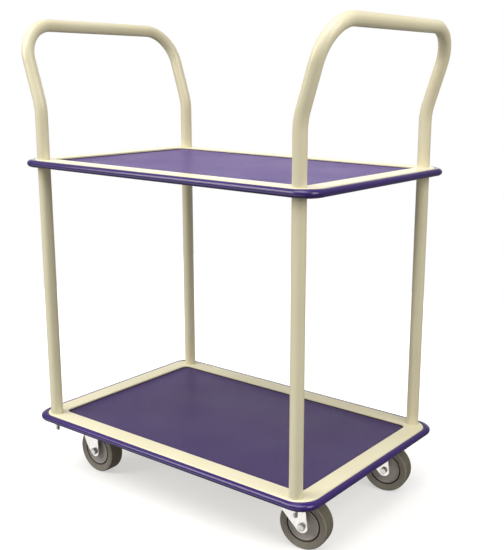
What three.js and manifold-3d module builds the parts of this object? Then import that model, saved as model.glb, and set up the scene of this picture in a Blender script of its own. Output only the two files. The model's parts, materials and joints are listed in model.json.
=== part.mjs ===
// Two-tier platform trolley with a tubular handle at each end.
//
// Units are millimetres. +Z is up and z = 0 is the floor. The origin is on the
// floor under the middle of the decks. X runs along the length: the fixed
// casters are at the -X (front) end and the swivel casters at the +X (rear)
// end. Left is -Y and right is +Y for a person pushing the trolley forwards.
//
// The frame is two pressed steel decks, each with a vinyl mat in a shallow
// recess and a bumper strip round its skirt, carried on two bent tube handles
// whose legs run down through the upper deck into sockets in the lower deck.

import * as THREE from "three";
import { mergeVertices } from "three/addons/utils/BufferGeometryUtils.js";
import Module from "manifold-3d";

const wasm = await Module();
wasm.setup();

// ---------------------------------------------------------------- dimensions

// Decks
const DECK_L = 720; // pressed deck, outside the skirt
const DECK_W = 460;
const DECK_R = 40; // corner radius of the skirt
const SHEET = 1.5; // deck sheet thickness
const SKIRT_H = 15.2; // depth of the skirt below the top face
const EDGE_R = 2.4; // rolled edge between top face and skirt
const RECESS_L = 644; // mat recess
const RECESS_W = 386;
const RECESS_R = 16;
const RECESS_D = 6; // depth of the recess
const LOWER_TOP = 138; // top face of the lower deck's border
const UPPER_TOP = 693; // top face of the upper deck's border

// Mats
const MAT_GAP = 2; // gap between the mat's edge and the recess wall
const MAT_T = 1.5;

// Bumpers
const BUMPER_T = 10; // how far the strip stands out past the skirt
const BUMPER_R = 38; // corner radius of the strip's outer edge
const BUMPER_H = 14.5;
const BUMPER_DROP = 0.8; // top of the strip below the deck's top face
const BUMPER_ROUND = 6; // rounding of the strip's outer edges

// Handles
const TUBE_R = 12.7; // 25.4 mm tube
const TUBE_WALL = 1.5;
const LEG_X = 326; // leg axes
const LEG_Y = 212.5;
const BEND_Z = 801; // where the legs start to lean outwards
const LEAN = 52; // how far the grip stands outside the legs
const GRIP_Z = 962.5; // axis of the grip
const BEND_R = 120; // bend radius at the lean
const CORNER_R = 75; // bend radius at the grip's corners
const STUD_R = 4; // M8 stud under each leg
const STUD_END_Z = 98;

// Leg sockets in the lower deck and collars under the upper deck
const SOCKET_IN_R = 13.15;
const SOCKET_OUT_R = 15.1;
const SOCKET_BOTTOM_Z = 117;
const SOCKET_FLOOR = 2.5;
const COLLAR_BOTTOM_Z = 676;
const SCREW_Z = 683.2; // axis of the screws that lock the upper deck
const SCREW_R = 3;

// Caster positions and mounting plates
const FIXED_X = -264; // middle of the fixed casters' plates
const FIXED_OFFSET = 6; // plate's middle to axle
const SWIVEL_X = 262; // swivel axes
const CASTER_Y = 149;
const PLATE_L = 95;
const PLATE_W = 70;
const PLATE_T = 2.5;
const PLATE_TOP_Z = 123.7;
const PLATE_BOLT_X = 36; // half the hole spacing along X
const PLATE_BOLT_Y = 24; // half the hole spacing along Y
const BOLT_R = 4; // M8 bolts up through the plates
const BOLT_HEAD_H = 5.3;
const BOLT_FLANGE_H = 1.5;
const RAIL_BOTTOM_Z = 124; // underside of the cross rails that carry the plates
const TAPPED_TOP_Z = 129; // top of the tapped plates inside the rails

// Casters
const AXLE_Z = 50;
const TRAIL = 39; // swivel axis to axle
const SWIVEL_REST = 10; // degrees the swivel casters are turned at rest
const FORK_GAP = 38.6; // between the cheeks
const CHEEK_T = 2.5;
const CHEEK_ROUND = 12.5; // radius of the cheek round the axle
const WHEEL_R = 50;
const WHEEL_W = 32;
const CORE_R = 33; // outside of the wheel core
const WHEEL_SIDES = 24;
const AXLE_R = 4;
const BUSH_R = 6;

// Small clearance between pieces that lie against each other
const GAP = 0.3;

// ------------------------------------------------------------------- helpers

const CLEAR = 0.3; // radial clearance of a bolt in its hole

// A closed three.js geometry as a solid.
function solid(geometry) {
  const g = geometry.index ? geometry.toNonIndexed() : geometry.clone();
  const bare = new THREE.BufferGeometry().setAttribute(
    "position",
    g.getAttribute("position"),
  );
  const merged = mergeVertices(bare, 1e-4);
  const made = new wasm.Manifold(
    new wasm.Mesh({
      numProp: 3,
      vertProperties: new Float32Array(merged.attributes.position.array),
      triVerts: new Uint32Array(merged.index.array),
    }),
  );
  return made;
}

// A solid as a three.js geometry.
function geometryOf(s) {
  const m = s.getMesh();
  const n = m.numProp;
  const p = new Float32Array(m.numVert * 3);
  for (let i = 0; i < m.numVert; i++)
    p.set(m.vertProperties.subarray(i * n, i * n + 3), i * 3);
  const g = new THREE.BufferGeometry();
  g.setAttribute("position", new THREE.BufferAttribute(p, 3));
  g.setIndex(new THREE.BufferAttribute(new Uint32Array(m.triVerts), 1));
  g.computeVertexNormals();
  return g;
}

function shapeOf(points, hole) {
  const s = new THREE.Shape(points.map(([x, y]) => new THREE.Vector2(x, y)));
  if (hole)
    s.holes.push(
      new THREE.Path(hole.map(([x, y]) => new THREE.Vector2(x, y))),
    );
  return s;
}

// Corner points of a regular polygon that encloses radius r on its flats or,
// with inside = true, has its corners at radius r.
function polygon(r, sides, { inside = true, phase = 0, x = 0, y = 0 } = {}) {
  const rr = inside ? r : r / Math.cos(Math.PI / sides);
  const pts = [];
  for (let i = 0; i < sides; i++) {
    const a = phase + (2 * Math.PI * i) / sides;
    pts.push([x + rr * Math.cos(a), y + rr * Math.sin(a)]);
  }
  return pts;
}

function roundedRect(l, w, r, n = 5) {
  const pts = [];
  const corners = [
    [l / 2 - r, w / 2 - r, 0],
    [-l / 2 + r, w / 2 - r, 90],
    [-l / 2 + r, -w / 2 + r, 180],
    [l / 2 - r, -w / 2 + r, 270],
  ];
  for (const [cx, cy, a0] of corners)
    for (let i = 0; i <= n; i++) {
      const a = THREE.MathUtils.degToRad(a0 + (90 * i) / n);
      pts.push([cx + r * Math.cos(a), cy + r * Math.sin(a)]);
    }
  return pts;
}

// A prism of the outline between z0 and z1.
function prism(points, z0, z1, hole) {
  const g = new THREE.ExtrudeGeometry(shapeOf(points, hole), {
    depth: z1 - z0,
    bevelEnabled: false,
    steps: 1,
  });
  g.translate(0, 0, z0);
  return solid(g);
}

// A prism of an outline drawn in X and Z, between y0 and y1.
function prismXZ(points, y0, y1, hole) {
  const g = new THREE.ExtrudeGeometry(shapeOf(points, hole), {
    depth: y1 - y0,
    bevelEnabled: false,
    steps: 1,
  });
  g.rotateX(Math.PI / 2); // outline Y becomes Z, depth runs towards -Y
  g.translate(0, y1, 0);
  return solid(g);
}

function box(x0, x1, y0, y1, z0, z1) {
  const g = new THREE.BoxGeometry(x1 - x0, y1 - y0, z1 - z0);
  g.translate((x0 + x1) / 2, (y0 + y1) / 2, (z0 + z1) / 2);
  return solid(g);
}

const cylZ = (r, z0, z1, x = 0, y = 0, sides = 16) =>
  prism(polygon(r, sides, { x, y, phase: Math.PI / sides }), z0, z1);
const cylY = (r, y0, y1, x = 0, z = 0, sides = 16) =>
  prismXZ(polygon(r, sides, { x, y: z, phase: Math.PI / sides }), y0, y1);
function cylX(r, x0, x1, y = 0, z = 0, sides = 12) {
  const g = new THREE.CylinderGeometry(r, r, x1 - x0, sides);
  g.rotateZ(Math.PI / 2);
  g.translate((x0 + x1) / 2, y, z);
  return solid(g);
}

const join = (...s) => s.reduce((a, b) => a.add(b));

const root = new THREE.Group();
root.name = "platform_trolley";

const CREAM = { color: 0xe6dfbd, roughness: 0.38, metalness: 0.0 };
const ZINC = { color: 0xc9ccce, roughness: 0.3, metalness: 0.9 };
const PURPLE_MAT = { color: 0x4d3f78, roughness: 0.65, metalness: 0.0 };
const PURPLE_PVC = { color: 0x3f2f7a, roughness: 0.32, metalness: 0.0 };
const TYRE = { color: 0x6b655d, roughness: 0.7, metalness: 0.0 };
const CORE = { color: 0x8b8480, roughness: 0.55, metalness: 0.0 };

// Adds one piece to a group. The shape is a solid or a closed geometry.
function piece(group, name, shape, look) {
  const geometry = shape.isBufferGeometry ? shape : geometryOf(shape);
  const mesh = new THREE.Mesh(geometry, new THREE.MeshStandardMaterial(look));
  mesh.name = name;
  group.add(mesh);
  return mesh;
}

// --------------------------------------------------------------------- decks

// Pressed tray: a flat border, a recess for the mat, a skirt all round and a
// rolled edge between border and skirt. The underside is open.
function tray(top) {
  const bottom = top - SKIRT_H;
  const outerGeometry = new THREE.ExtrudeGeometry(
    shapeOf(roundedRect(DECK_L, DECK_W, DECK_R)),
    {
      depth: SKIRT_H + 6 - 2 * EDGE_R,
      bevelEnabled: true,
      bevelThickness: EDGE_R,
      bevelSize: EDGE_R,
      bevelOffset: -EDGE_R,
      bevelSegments: 1,
      steps: 1,
    },
  );
  outerGeometry.translate(0, 0, bottom - 6 + EDGE_R);
  const outer = solid(outerGeometry).subtract(
    box(-400, 400, -300, 300, bottom - 20, bottom),
  );
  const inside = roundedRect(
    DECK_L - 2 * SHEET,
    DECK_W - 2 * SHEET,
    DECK_R - SHEET,
  );
  const panelUnder = top - RECESS_D - SHEET;
  const hollow = prism(inside, bottom - 1, panelUnder);
  const borderHollow = prism(inside, panelUnder - 0.5, top - SHEET).subtract(
    prism(
      roundedRect(
        RECESS_L + 2 * SHEET,
        RECESS_W + 2 * SHEET,
        RECESS_R + SHEET,
        3,
      ),
      panelUnder - 2,
      top,
    ),
  );
  const recess = prism(
    roundedRect(RECESS_L, RECESS_W, RECESS_R, 4),
    top - RECESS_D,
    top + 5,
  );
  return outer.subtract(hollow).subtract(borderHollow).subtract(recess);
}

// Top-hat rail welded to the underside of the panel, open at both ends.
// It runs along X when alongX is true, otherwise along Y.
function rail(alongX, centre, from, to, width, flange, under, bottom) {
  const t = 2;
  const profile = [
    [-width / 2 - flange, under + 0.2],
    [-width / 2 - flange, under - t],
    [-width / 2, under - t],
    [-width / 2, bottom],
    [width / 2, bottom],
    [width / 2, under - t],
    [width / 2 + flange, under - t],
    [width / 2 + flange, under + 0.2],
    [width / 2 - t, under + 0.2],
    [width / 2 - t, bottom + t],
    [-width / 2 + t, bottom + t],
    [-width / 2 + t, under + 0.2],
  ];
  const r = prismXZ(profile, from, to);
  return alongX
    ? r.rotate([0, 0, -90]).translate([0, centre, 0])
    : r.translate([centre, 0, 0]);
}

const CORNERS = [
  ["front_left", -1, -1],
  ["front_right", -1, 1],
  ["rear_left", 1, -1],
  ["rear_right", 1, 1],
];

const casterX = (sx) => (sx < 0 ? FIXED_X : SWIVEL_X);

// Lower deck: tray, two cross rails for the casters with a tapped plate inside
// over each caster, a long stiffener and a leg socket in each corner.
function lowerDeck() {
  const under = LOWER_TOP - RECESS_D - SHEET;
  let d = tray(LOWER_TOP);
  for (const s of [-1, 1])
    d = d.add(
      rail(false, casterX(s), -186, 186, 104, 7, under, RAIL_BOTTOM_Z),
    );
  d = d.add(rail(true, 0, -185, 185, 46, 9, under, RAIL_BOTTOM_Z + 1.5));
  for (const [, sx, sy] of CORNERS) {
    const x = sx * LEG_X;
    const y = sy * LEG_Y;
    d = d.add(
      cylZ(SOCKET_OUT_R, SOCKET_BOTTOM_Z, LOWER_TOP - SHEET + 0.2, x, y, 16),
    );
    d = d.subtract(
      cylZ(SOCKET_IN_R, SOCKET_BOTTOM_Z + SOCKET_FLOOR, LOWER_TOP + 2, x, y, 16),
    );
    d = d.subtract(
      cylZ(STUD_R + CLEAR, SOCKET_BOTTOM_Z - 2, LOWER_TOP, x, y, 10),
    );
    const px = casterX(sx);
    const py = sy * CASTER_Y;
    d = d.add(
      box(
        px - 50.5,
        px + 50.5,
        py - 33,
        py + 33,
        RAIL_BOTTOM_Z + 1.5,
        TAPPED_TOP_Z,
      ),
    );
    for (const bx of [-1, 1])
      for (const by of [-1, 1])
        d = d.subtract(
          cylZ(
            BOLT_R + CLEAR,
            RAIL_BOTTOM_Z - 2,
            TAPPED_TOP_Z + 0.5,
            px + bx * PLATE_BOLT_X,
            py + by * PLATE_BOLT_Y,
            8,
          ),
        );
  }
  return d;
}

// Upper deck: tray, two cross stiffeners, one long stiffener and a collar
// round each leg with a hole for its locking screw.
function upperDeck() {
  const under = UPPER_TOP - RECESS_D - SHEET;
  let d = tray(UPPER_TOP);
  for (const s of [-1, 1])
    d = d.add(rail(false, s * 190, -186, 186, 46, 9, under, under - 7));
  d = d.add(rail(true, 0, -150, 150, 46, 9, under, under - 7));
  for (const [, sx, sy] of CORNERS) {
    const x = sx * LEG_X;
    const y = sy * LEG_Y;
    d = d.add(
      cylZ(SOCKET_OUT_R, COLLAR_BOTTOM_Z, UPPER_TOP - SHEET + 0.2, x, y, 16),
    );
    d = d.subtract(cylZ(SOCKET_IN_R, COLLAR_BOTTOM_Z - 2, UPPER_TOP + 2, x, y, 16));
    const near = x - sx * (TUBE_R - 4);
    const far = x - sx * (SOCKET_OUT_R + 3);
    d = d.subtract(
      cylX(SCREW_R + CLEAR, Math.min(near, far), Math.max(near, far), y, SCREW_Z, 8),
    );
  }
  return d;
}

function mat(top) {
  return prism(
    roundedRect(
      RECESS_L - 2 * MAT_GAP,
      RECESS_W - 2 * MAT_GAP,
      RECESS_R - MAT_GAP,
      4,
    ),
    top - RECESS_D + GAP,
    top - RECESS_D + GAP + MAT_T,
  );
}

// Bumper strip: a D section round the skirt.
function bumper(top) {
  const g = new THREE.ExtrudeGeometry(
    shapeOf(
      roundedRect(DECK_L + 2 * BUMPER_T, DECK_W + 2 * BUMPER_T, BUMPER_R),
    ),
    {
      depth: BUMPER_H - 2 * BUMPER_ROUND,
      bevelEnabled: true,
      bevelThickness: BUMPER_ROUND,
      bevelSize: BUMPER_ROUND,
      bevelOffset: -BUMPER_ROUND,
      bevelSegments: 2,
      steps: 1,
    },
  );
  g.translate(0, 0, top - BUMPER_DROP - BUMPER_H + BUMPER_ROUND);
  return solid(g).subtract(
    prism(
      roundedRect(DECK_L + 2 * GAP, DECK_W + 2 * GAP, DECK_R + GAP),
      top - 40,
      top + 10,
    ),
  );
}

piece(root, "lower_deck", lowerDeck(), CREAM);
piece(root, "upper_deck", upperDeck(), CREAM);
piece(root, "lower_mat", mat(LOWER_TOP), PURPLE_MAT);
piece(root, "upper_mat", mat(UPPER_TOP), PURPLE_MAT);
piece(root, "lower_bumper", bumper(LOWER_TOP), PURPLE_PVC);
piece(root, "upper_bumper", bumper(UPPER_TOP), PURPLE_PVC);

// ------------------------------------------------------------------- handles

// A curve through straight runs and round bends whose parameter steps from
// knot to knot, so that a sweep spends its sections on the bends.
class BentTube extends THREE.Curve {
  constructor(points, radii, steps) {
    super();
    this.knots = [];
    const p = points.map((v) => new THREE.Vector3(...v));
    const first = p[1].clone().sub(p[0]).normalize();
    this.knots.push([p[0], first]);
    for (let i = 1; i < p.length - 1; i++) {
      const u = p[i - 1].clone().sub(p[i]).normalize();
      const v = p[i + 1].clone().sub(p[i]).normalize();
      const half = Math.acos(THREE.MathUtils.clamp(u.dot(v), -1, 1)) / 2;
      const r = radii[i - 1];
      const t = r / Math.tan(half);
      const start = p[i].clone().addScaledVector(u, t);
      const centre = p[i]
        .clone()
        .addScaledVector(u.clone().add(v).normalize(), r / Math.sin(half));
      const e1 = start.clone().sub(centre).normalize();
      const e2 = u.clone().negate();
      const sweep = Math.PI - 2 * half;
      const n = steps[i - 1];
      for (let k = 0; k <= n; k++) {
        const a = (sweep * k) / n;
        this.knots.push([
          centre
            .clone()
            .addScaledVector(e1, r * Math.cos(a))
            .addScaledVector(e2, r * Math.sin(a)),
          e1
            .clone()
            .multiplyScalar(-Math.sin(a))
            .addScaledVector(e2, Math.cos(a))
            .normalize(),
        ]);
      }
    }
    const last = p[p.length - 1];
    this.knots.push([last, last.clone().sub(p[p.length - 2]).normalize()]);
  }
  get steps() {
    return this.knots.length - 1;
  }
  knot(t) {
    return this.knots[Math.round(t * this.steps)];
  }
  getPoint(t, target = new THREE.Vector3()) {
    return target.copy(this.knot(t)[0]);
  }
  getPointAt(t, target) {
    return this.getPoint(t, target);
  }
  getTangent(t, target = new THREE.Vector3()) {
    return target.copy(this.knot(t)[1]);
  }
  getTangentAt(t, target) {
    return this.getTangent(t, target);
  }
}

// Handle: one bent tube from socket to socket, with a plug and an M8 stud
// welded into each end. A small hole in each plug vents the tube.
function handle(side) {
  const foot = SOCKET_BOTTOM_Z + SOCKET_FLOOR + GAP;
  const path = new BentTube(
    [
      [side * LEG_X, -LEG_Y, foot],
      [side * LEG_X, -LEG_Y, BEND_Z],
      [side * (LEG_X + LEAN), -LEG_Y, GRIP_Z],
      [side * (LEG_X + LEAN), LEG_Y, GRIP_Z],
      [side * LEG_X, LEG_Y, BEND_Z],
      [side * LEG_X, LEG_Y, foot],
    ],
    [BEND_R, CORNER_R, CORNER_R, BEND_R],
    [4, 6, 6, 4],
  );
  const tube = (r, sides) =>
    solid(
      new THREE.ExtrudeGeometry(shapeOf(polygon(r, sides)), {
        steps: path.steps,
        extrudePath: path,
        bevelEnabled: false,
      }),
    );
  let h = tube(TUBE_R, 12);
  const bore = tube(TUBE_R - TUBE_WALL, 8);
  h = h.subtract(bore);
  for (const sy of [-1, 1]) {
    const x = side * LEG_X;
    const y = sy * LEG_Y;
    h = h.add(cylZ(TUBE_R - 0.9, foot, foot + 8, x, y, 12));
    h = h.subtract(cylZ(1.6, foot - 2, foot + 12, x - side * 7.4, y, 6));
    h = h.add(cylZ(STUD_R, STUD_END_Z, foot + 1, x, y, 10));
    const a = x - side * (TUBE_R + 2);
    const b = x - side * (TUBE_R - 4);
    h = h.subtract(
      cylX(SCREW_R + CLEAR, Math.min(a, b), Math.max(a, b), y, SCREW_Z, 8),
    );
  }
  return h;
}

piece(root, "front_handle", handle(-1), CREAM);
piece(root, "rear_handle", handle(1), CREAM);

// ----------------------------------------------------------------- fasteners

const HEX_M8 = 6.5; // half the width across flats
const HEX_M6 = 5;

// Hexagon outline with its flats facing +-Y.
const hex = (half, x = 0, y = 0) =>
  polygon(half, 6, { inside: false, x, y });

function flangeNut(x, y, top) {
  const hole = polygon(STUD_R + CLEAR, 10, { x, y, phase: Math.PI / 10 });
  const body = prism(hex(HEX_M8, x, y), top - 6.8, top - 1, hole);
  const flange = prism(
    polygon(8.6, 12, { x, y }),
    top - 1.6,
    top,
    hole,
  );
  return body.add(flange);
}

// Flanged hex bolt, head down, its shank up through plate and rail.
function plateBolt(x, y, under, tip) {
  const flangeBottom = under - BOLT_FLANGE_H;
  return prism(hex(HEX_M8, x, y), flangeBottom - BOLT_HEAD_H, flangeBottom + 0.2)
    .add(cylZ(8, flangeBottom, under, x, y, 12))
    .add(cylZ(BOLT_R, under - 0.5, tip, x, y, 8));
}

for (const [corner, sx, sy] of CORNERS) {
  const x = sx * LEG_X;
  const y = sy * LEG_Y;
  piece(
    root,
    `${corner}_leg_nut`,
    flangeNut(x, y, SOCKET_BOTTOM_Z - GAP),
    ZINC,
  );
  // Screw through the collar into the leg, its head towards the deck's middle.
  const headFace = x - sx * (SOCKET_OUT_R + GAP);
  const headBack = headFace - sx * 4;
  const tip = x - sx * (TUBE_R - 3.2);
  const shank = cylX(
    SCREW_R,
    Math.min(headFace - sx, tip),
    Math.max(headFace - sx, tip),
    y,
    SCREW_Z,
    8,
  );
  const head = new THREE.CylinderGeometry(
    HEX_M6 / Math.cos(Math.PI / 6),
    HEX_M6 / Math.cos(Math.PI / 6),
    4,
    6,
  );
  head.rotateZ(Math.PI / 2);
  head.translate((headFace + headBack) / 2, y, SCREW_Z);
  piece(root, `${corner}_deck_screw`, shank.add(solid(head)), ZINC);
  let n = 0;
  for (const bx of [-1, 1])
    for (const by of [-1, 1])
      piece(
        root,
        `${corner}_plate_bolt_${++n}`,
        plateBolt(
          casterX(sx) + bx * PLATE_BOLT_X,
          sy * CASTER_Y + by * PLATE_BOLT_Y,
          PLATE_TOP_Z - PLATE_T - GAP,
          TAPPED_TOP_Z + 1.2,
        ),
        ZINC,
      );
}

// -------------------------------------------------------------------- wheels

// Profiles are radius and distance along the axle, and close on themselves.
// The radii are those of the flats, or of the corners with inside = true. A
// flat faces straight down.
function lathe(profile, sides, inside = false) {
  const k = inside ? 1 : 1 / Math.cos(Math.PI / sides);
  return solid(
    new THREE.LatheGeometry(
      [...profile, profile[0]].map(([r, y]) => new THREE.Vector2(r * k, y)),
      sides,
      Math.PI / sides,
    ),
  );
}

function tyre() {
  const h = WHEEL_W / 2;
  const i = CORE_R + GAP;
  return lathe(
    [
      [i, -13.8],
      [46, -h],
      [49.2, -h + 2.6],
      [WHEEL_R, -h + 6.5],
      [WHEEL_R, h - 6.5],
      [49.2, h - 2.6],
      [46, h],
      [i, 13.8],
    ],
    WHEEL_SIDES,
  );
}

// Moulded core: a long boss for the bush, a thin web and a rim.
function core() {
  const boss = FORK_GAP / 2 - 1;
  return lathe(
    [
      [BUSH_R + 0.35, -boss],
      [10.8, -boss],
      [11.4, -11.8],
      [28, -11.8],
      [29.2, -13.6],
      [CORE_R, -13.6],
      [CORE_R, 13.6],
      [29.2, 13.6],
      [28, 11.8],
      [11.4, 11.8],
      [10.8, boss],
      [BUSH_R + 0.35, boss],
    ],
    16,
    true,
  );
}

// Wheel, bush and axle of one caster, in a frame at the axle's middle.
function wheelSet(group, name) {
  piece(group, `${name}_tyre`, tyre(), TYRE);
  piece(group, `${name}_wheel_core`, core(), CORE);
  const inner = FORK_GAP / 2;
  const outer = inner + CHEEK_T;
  piece(
    group,
    `${name}_bush`,
    prismXZ(
      polygon(BUSH_R, 12),
      -inner + GAP,
      inner - GAP,
      polygon(AXLE_R + CLEAR, 10),
    ),
    ZINC,
  );
  piece(
    group,
    `${name}_axle_bolt`,
    join(
      prismXZ(hex(HEX_M8), -outer - GAP - 5.3, -outer - GAP),
      cylY(AXLE_R, -outer - GAP - 1, outer + GAP + 10, 0, 0, 10),
    ),
    ZINC,
  );
  piece(
    group,
    `${name}_axle_nut`,
    prismXZ(
      hex(HEX_M8),
      outer + GAP,
      outer + GAP + 8,
      polygon(AXLE_R + CLEAR, 10, { phase: Math.PI / 10 }),
    ),
    ZINC,
  );
}

// Cheek outline round the axle at (ax, AXLE_Z), from angle a0 to a1 degrees.
function axleArc(ax, a0, a1, n) {
  const pts = [];
  for (let i = 0; i <= n; i++) {
    const a = THREE.MathUtils.degToRad(a0 + ((a1 - a0) * i) / n);
    pts.push([
      ax + CHEEK_ROUND * Math.cos(a),
      AXLE_Z + CHEEK_ROUND * Math.sin(a),
    ]);
  }
  return pts;
}

function cheeks(outline, ax) {
  const inner = FORK_GAP / 2;
  const outer = inner + CHEEK_T;
  const hole = cylY(AXLE_R + CLEAR, -outer - 1, outer + 1, ax, AXLE_Z, 10);
  return prismXZ(outline, -outer, -inner)
    .add(prismXZ(outline, inner, outer))
    .subtract(hole);
}

// Plate with four bolt holes, in a frame under its middle.
function mountPlate() {
  const bottom = PLATE_TOP_Z - PLATE_T;
  let p = prism(roundedRect(PLATE_L, PLATE_W, 8, 2), bottom, PLATE_TOP_Z);
  for (const bx of [-1, 1])
    for (const by of [-1, 1])
      p = p.subtract(
        cylZ(
          STUD_R + CLEAR,
          bottom - 1,
          PLATE_TOP_Z + 1,
          bx * PLATE_BOLT_X,
          by * PLATE_BOLT_Y,
          8,
        ),
      );
  return p;
}

// ------------------------------------------------------------- fixed casters

// Plate and pressed bracket of a fixed caster, welded into one piece.
function fixedBracket() {
  const plateBottom = PLATE_TOP_Z - PLATE_T;
  const crownBottom = plateBottom - 2.5;
  const ax = FIXED_OFFSET;
  const outer = FORK_GAP / 2 + CHEEK_T;
  const outline = [
    [ax - 36, plateBottom + 0.1],
    [ax - 36, 100],
    [ax - 31, 76],
    [ax - 22, 57],
    ...axleArc(ax, 206, 354, 6),
    [ax + 11.5, 80],
    [ax + 20, 102],
    [ax + 20, plateBottom + 0.1],
  ];
  let b = mountPlate();
  b = b.add(
    box(ax - 36, ax + 20, -outer, outer, crownBottom, plateBottom + 0.1),
  );
  b = b.add(cheeks(outline, ax));
  // The cheeks' upper corners are cut back round the plate's bolts.
  for (const bx of [-1, 1])
    for (const by of [-1, 1])
      b = b.subtract(
        cylZ(
          8.6,
          crownBottom - 8.5,
          plateBottom,
          bx * PLATE_BOLT_X,
          by * PLATE_BOLT_Y,
          12,
        ),
      );
  return b;
}

// ------------------------------------------------------------ swivel casters

// A solid of revolution about the swivel axis. Profiles are radius and height.
function turned(profile, sides) {
  const g = new THREE.LatheGeometry(
    [...profile, profile[0]].map(([r, z]) => new THREE.Vector2(r, z)),
    sides,
  );
  g.rotateX(Math.PI / 2);
  return solid(g);
}

const CROWN_TOP = 115;
const CROWN_T = 3;
const HEAD_Z = PLATE_TOP_Z - GAP;

// Plate with the upper ball race pressed down from its middle, and a
// countersunk hole for the kingpin.
function swivelPlate() {
  const bottom = PLATE_TOP_Z - PLATE_T;
  return mountPlate()
    .add(
      prism(
        polygon(27, 16),
        bottom - 2.6,
        bottom + 0.1,
        polygon(20.5, 16),
      ),
    )
    .subtract(
      turned(
        [
          [0, bottom - 1],
          [6.5, bottom - 1],
          [6.5, bottom + 0.2],
          [11.4, PLATE_TOP_Z + 0.4],
          [0, PLATE_TOP_Z + 0.4],
        ],
        12,
      ),
    );
}

// Kingpin: a countersunk head in the plate, a shank through the crown and a
// riveted flange under the crown that carries the lower ball race.
function kingpin() {
  const under = CROWN_TOP - CROWN_T - GAP;
  return turned(
    [
      [0, 105.5],
      [8, 105.5],
      [8, under - 3],
      [15, under - 3],
      [15, under],
      [6, under],
      [6, HEAD_Z - 2.1],
      [9.2, HEAD_Z],
      [0, HEAD_Z],
    ],
    16,
  );
}

// Pressed fork: a round crown with a raised race ring, and two raked cheeks.
function fork() {
  const outer = FORK_GAP / 2 + CHEEK_T;
  const outline = [
    [-19, CROWN_TOP],
    [-27, 110],
    [-27, 103],
    ...axleArc(TRAIL, 222, 350, 6),
    [TRAIL + 8, 84],
    [31, 103],
    [19, CROWN_TOP],
  ];
  return prism(polygon(28.5, 24), CROWN_TOP - CROWN_T, CROWN_TOP)
    .add(box(-18.8, 18.8, -outer, outer, CROWN_TOP - CROWN_T, CROWN_TOP))
    .add(
      prism(
        polygon(28.5, 24),
        CROWN_TOP - 0.1,
        CROWN_TOP + 2.9,
        polygon(21.5, 16),
      ),
    )
    .add(cheeks(outline, TRAIL))
    .subtract(cylZ(6.6, CROWN_TOP - 10, CROWN_TOP + 5, 0, 0, 12));
}

for (const [corner, sx, sy] of CORNERS) {
  const mount = new THREE.Group();
  mount.position.set(casterX(sx), sy * CASTER_Y, 0);
  root.add(mount);
  const axle = new THREE.Group();
  if (sx < 0) {
    piece(mount, `${corner}_fixed_bracket`, fixedBracket(), ZINC);
    axle.position.set(FIXED_OFFSET, 0, AXLE_Z);
    mount.add(axle);
  } else {
    piece(mount, `${corner}_swivel_plate`, swivelPlate(), ZINC);
    piece(mount, `${corner}_kingpin`, kingpin(), ZINC);
    const turn = new THREE.Group();
    turn.rotation.z = THREE.MathUtils.degToRad(SWIVEL_REST);
    mount.add(turn);
    piece(turn, `${corner}_fork`, fork(), ZINC);
    axle.position.set(TRAIL, 0, AXLE_Z);
    turn.add(axle);
  }
  wheelSet(axle, corner);
}

export default root;
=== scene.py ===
# Looks for the two-tier platform trolley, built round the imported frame.
#
# Lengths in the builders below are in millimetres and turned into metres when a
# mesh is made. Every piece is made in the frame's own coordinates, so a piece's
# object sits at the origin and rides on its CAD body.

import bmesh
import bpy
import math
import random
from mathutils import Matrix, Vector
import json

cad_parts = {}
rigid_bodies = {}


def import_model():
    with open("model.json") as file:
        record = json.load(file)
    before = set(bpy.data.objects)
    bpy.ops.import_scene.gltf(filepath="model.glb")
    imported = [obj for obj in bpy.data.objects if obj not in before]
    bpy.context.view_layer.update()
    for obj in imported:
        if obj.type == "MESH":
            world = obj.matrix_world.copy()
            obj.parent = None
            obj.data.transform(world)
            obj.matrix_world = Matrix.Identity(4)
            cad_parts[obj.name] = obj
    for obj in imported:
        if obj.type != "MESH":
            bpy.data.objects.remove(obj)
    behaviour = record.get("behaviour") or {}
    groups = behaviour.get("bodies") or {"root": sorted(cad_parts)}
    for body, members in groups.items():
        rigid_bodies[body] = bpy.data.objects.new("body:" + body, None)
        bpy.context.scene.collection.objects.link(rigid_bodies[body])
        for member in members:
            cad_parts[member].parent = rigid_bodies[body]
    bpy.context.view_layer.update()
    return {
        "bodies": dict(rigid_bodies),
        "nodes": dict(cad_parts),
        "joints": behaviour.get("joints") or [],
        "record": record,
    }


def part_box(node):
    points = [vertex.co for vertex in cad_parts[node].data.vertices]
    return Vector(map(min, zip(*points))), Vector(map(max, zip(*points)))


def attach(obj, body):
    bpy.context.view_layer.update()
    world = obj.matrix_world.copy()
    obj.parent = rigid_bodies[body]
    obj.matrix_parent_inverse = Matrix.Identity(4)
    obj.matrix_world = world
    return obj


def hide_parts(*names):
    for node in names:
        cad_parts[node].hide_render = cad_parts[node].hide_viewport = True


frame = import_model()
MM = 0.001
rng = random.Random(7)
scene = bpy.context.scene


def node_box(node):
    low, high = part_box(node)
    return low / MM, high / MM


# ---------------------------------------------------------------- dimensions

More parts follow.
